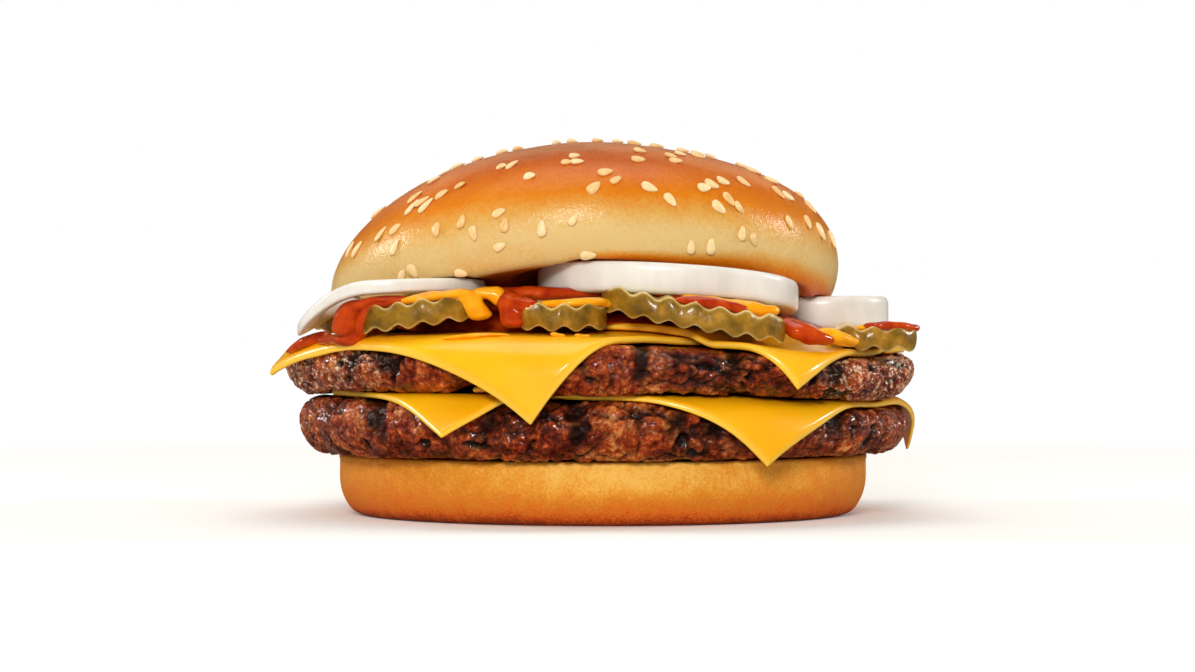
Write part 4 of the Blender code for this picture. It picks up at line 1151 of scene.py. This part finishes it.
def front_spots(table):
    """Directions and shares of the front seeds: the nearest of a fine grid of spots on the front of
    the crust to each pair of x and z, as the camera sees them."""
    direction, share = (grid.ravel() for grid in np.meshgrid(
        np.radians(np.linspace(174.0, 366.0, 460)), np.linspace(0.02, TOP_SHARE, 340)))
    own, _ = crust_spots(direction, share)
    world = placed_crown(own)
    nearer = CAMERA_DISTANCE / (CAMERA_DISTANCE + world[:, 1])
    seen_x = CAMERA_SIDE + (world[:, 0] - CAMERA_SIDE) * nearer
    seen_z = CAMERA_HEIGHT + (world[:, 2] - CAMERA_HEIGHT) * nearer
    wanted = np.array(table)
    pick = np.argmin((seen_x[None] - wanted[:, :1]) ** 2 + (seen_z[None] - wanted[:, 1:]) ** 2, axis=1)
    return direction[pick], share[pick]


def strewn_seeds(direction, share, slope, finish):
    """One mesh of all the seeds. A seed is an ellipsoid whose one end is drawn to a point; its
    length has the slope given as seen from the front, and it is sunk by a quarter of its height."""
    count = len(direction)
    own, facing = crust_spots(direction, share)
    size = rng.uniform(*SEED_SIZES, (count, 1, 1))
    lean = rng.normal(0.0, SEED_LEAN, (count, 3))
    facing = facing + lean
    facing = facing / np.linalg.norm(facing, axis=-1, keepdims=True)
    seen_way = np.stack([np.cos(slope), 0.0 * slope, np.sin(slope)], axis=-1)
    toward_camera = np.sign(facing[:, 1]) * np.maximum(np.abs(facing[:, 1]), 0.3)
    seen_way[:, 1] = -np.sum(seen_way * facing, axis=-1) / toward_camera
    length_way = seen_way - facing * np.sum(seen_way * facing, axis=-1, keepdims=True)
    length_way = length_way / np.linalg.norm(length_way, axis=-1, keepdims=True)
    width_way = np.cross(facing, length_way)
    t = np.linspace(-1.0, 1.0, 9)[1:-1]
    girth = np.sqrt(1.0 - t * t) * (1.0 - SEED_TAPER * t) * 0.95
    round_seed = np.linspace(0.0, math.tau, SEED_ROUND, endpoint=False)
    wide, high = girth[:, None] * np.cos(round_seed), girth[:, None] * np.sin(round_seed)
    body = np.stack([t[:, None] + 0.0 * wide, wide, high], axis=-1)
    grain = np.concatenate([body.reshape(-1, 3), [(-1.0, 0.0, 0.0), (1.0, 0.0, 0.0)]])
    grain = grain * (SEED_LENGTH / 2.0, SEED_WIDTH / 2.0, SEED_HEIGHT / 2.0) * size
    sunk = own + facing * SEED_HEIGHT * SEED_MIDDLE_UP
    points = sunk[:, None] + sum(
        grain[..., i:i + 1] * way[:, None] for i, way in enumerate((length_way, width_way, facing)))
    walls, fans = closed_faces(len(t), SEED_ROUND)
    first = np.arange(count)[:, None, None] * len(grain[0])
    faces = (walls + first).reshape(-1, 4).tolist() + (fans + first).reshape(-1, 3).tolist()
    tone = np.repeat(rng.uniform(0.0, 1.0, count), len(grain[0]))
    return piece("sesame_seeds", placed_crown(points.reshape(-1, 3)), faces, finish, tone=tone)


sesame, tree, place = fresh_material("hulled_sesame")
tone = put(tree, "Attribute", attribute_name="tone").outputs["Fac"]
toast = put(tree, "TexNoise", {"Vector": place, "Scale": 1.0 / (1.2 * MM), "Detail": 2.0})
level = put(tree, "Mix", {0: 0.45, 2: toast, 3: tone})
tint = put(tree, "ValToRGB", {"Fac": level}, stops=(
    (0.15, "#F8E6C0"), (0.5, "#F2D49C"), (0.85, "#E0AE66")))
shader = put(tree, "BsdfPrincipled", {
    "Base Color": tint, "Roughness": 0.38, "IOR": 1.46, "Specular IOR Level": 0.5,
    "Subsurface Weight": 0.15, "Subsurface Radius": (1.0, 0.7, 0.4), "Subsurface Scale": 0.6 * MM,
})
put(tree, "OutputMaterial", {"Surface": shader})

front_direction, front_share = front_spots([(x, z) for x, z, _ in SEEDS_IN_VIEW])
front_slope = [math.radians(slope) for _, _, slope in SEEDS_IN_VIEW]
strewn_direction = np.radians(rng.uniform(0.0, 360.0, STREWN))
from_axis = STREWN_REACH * np.sqrt(rng.uniform(0.002, 1.0, STREWN))
strewn_share = BULGE_SHARE + (1.0 - BULGE_SHARE) * np.arccos(from_axis) / (math.pi / 2.0)
# Those that would fall on the front, where the seeds in view are, are left out.
in_view = (np.sin(strewn_direction) < -0.15) & (strewn_share < 0.86)
directions = np.concatenate([front_direction, strewn_direction[~in_view]])
shares = np.concatenate([front_share, strewn_share[~in_view]])
slopes = np.concatenate([front_slope, rng.uniform(0.0, math.pi, np.count_nonzero(~in_view))])
seed_piece = strewn_seeds(directions, shares, slopes, sesame)
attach(seed_piece, "root")
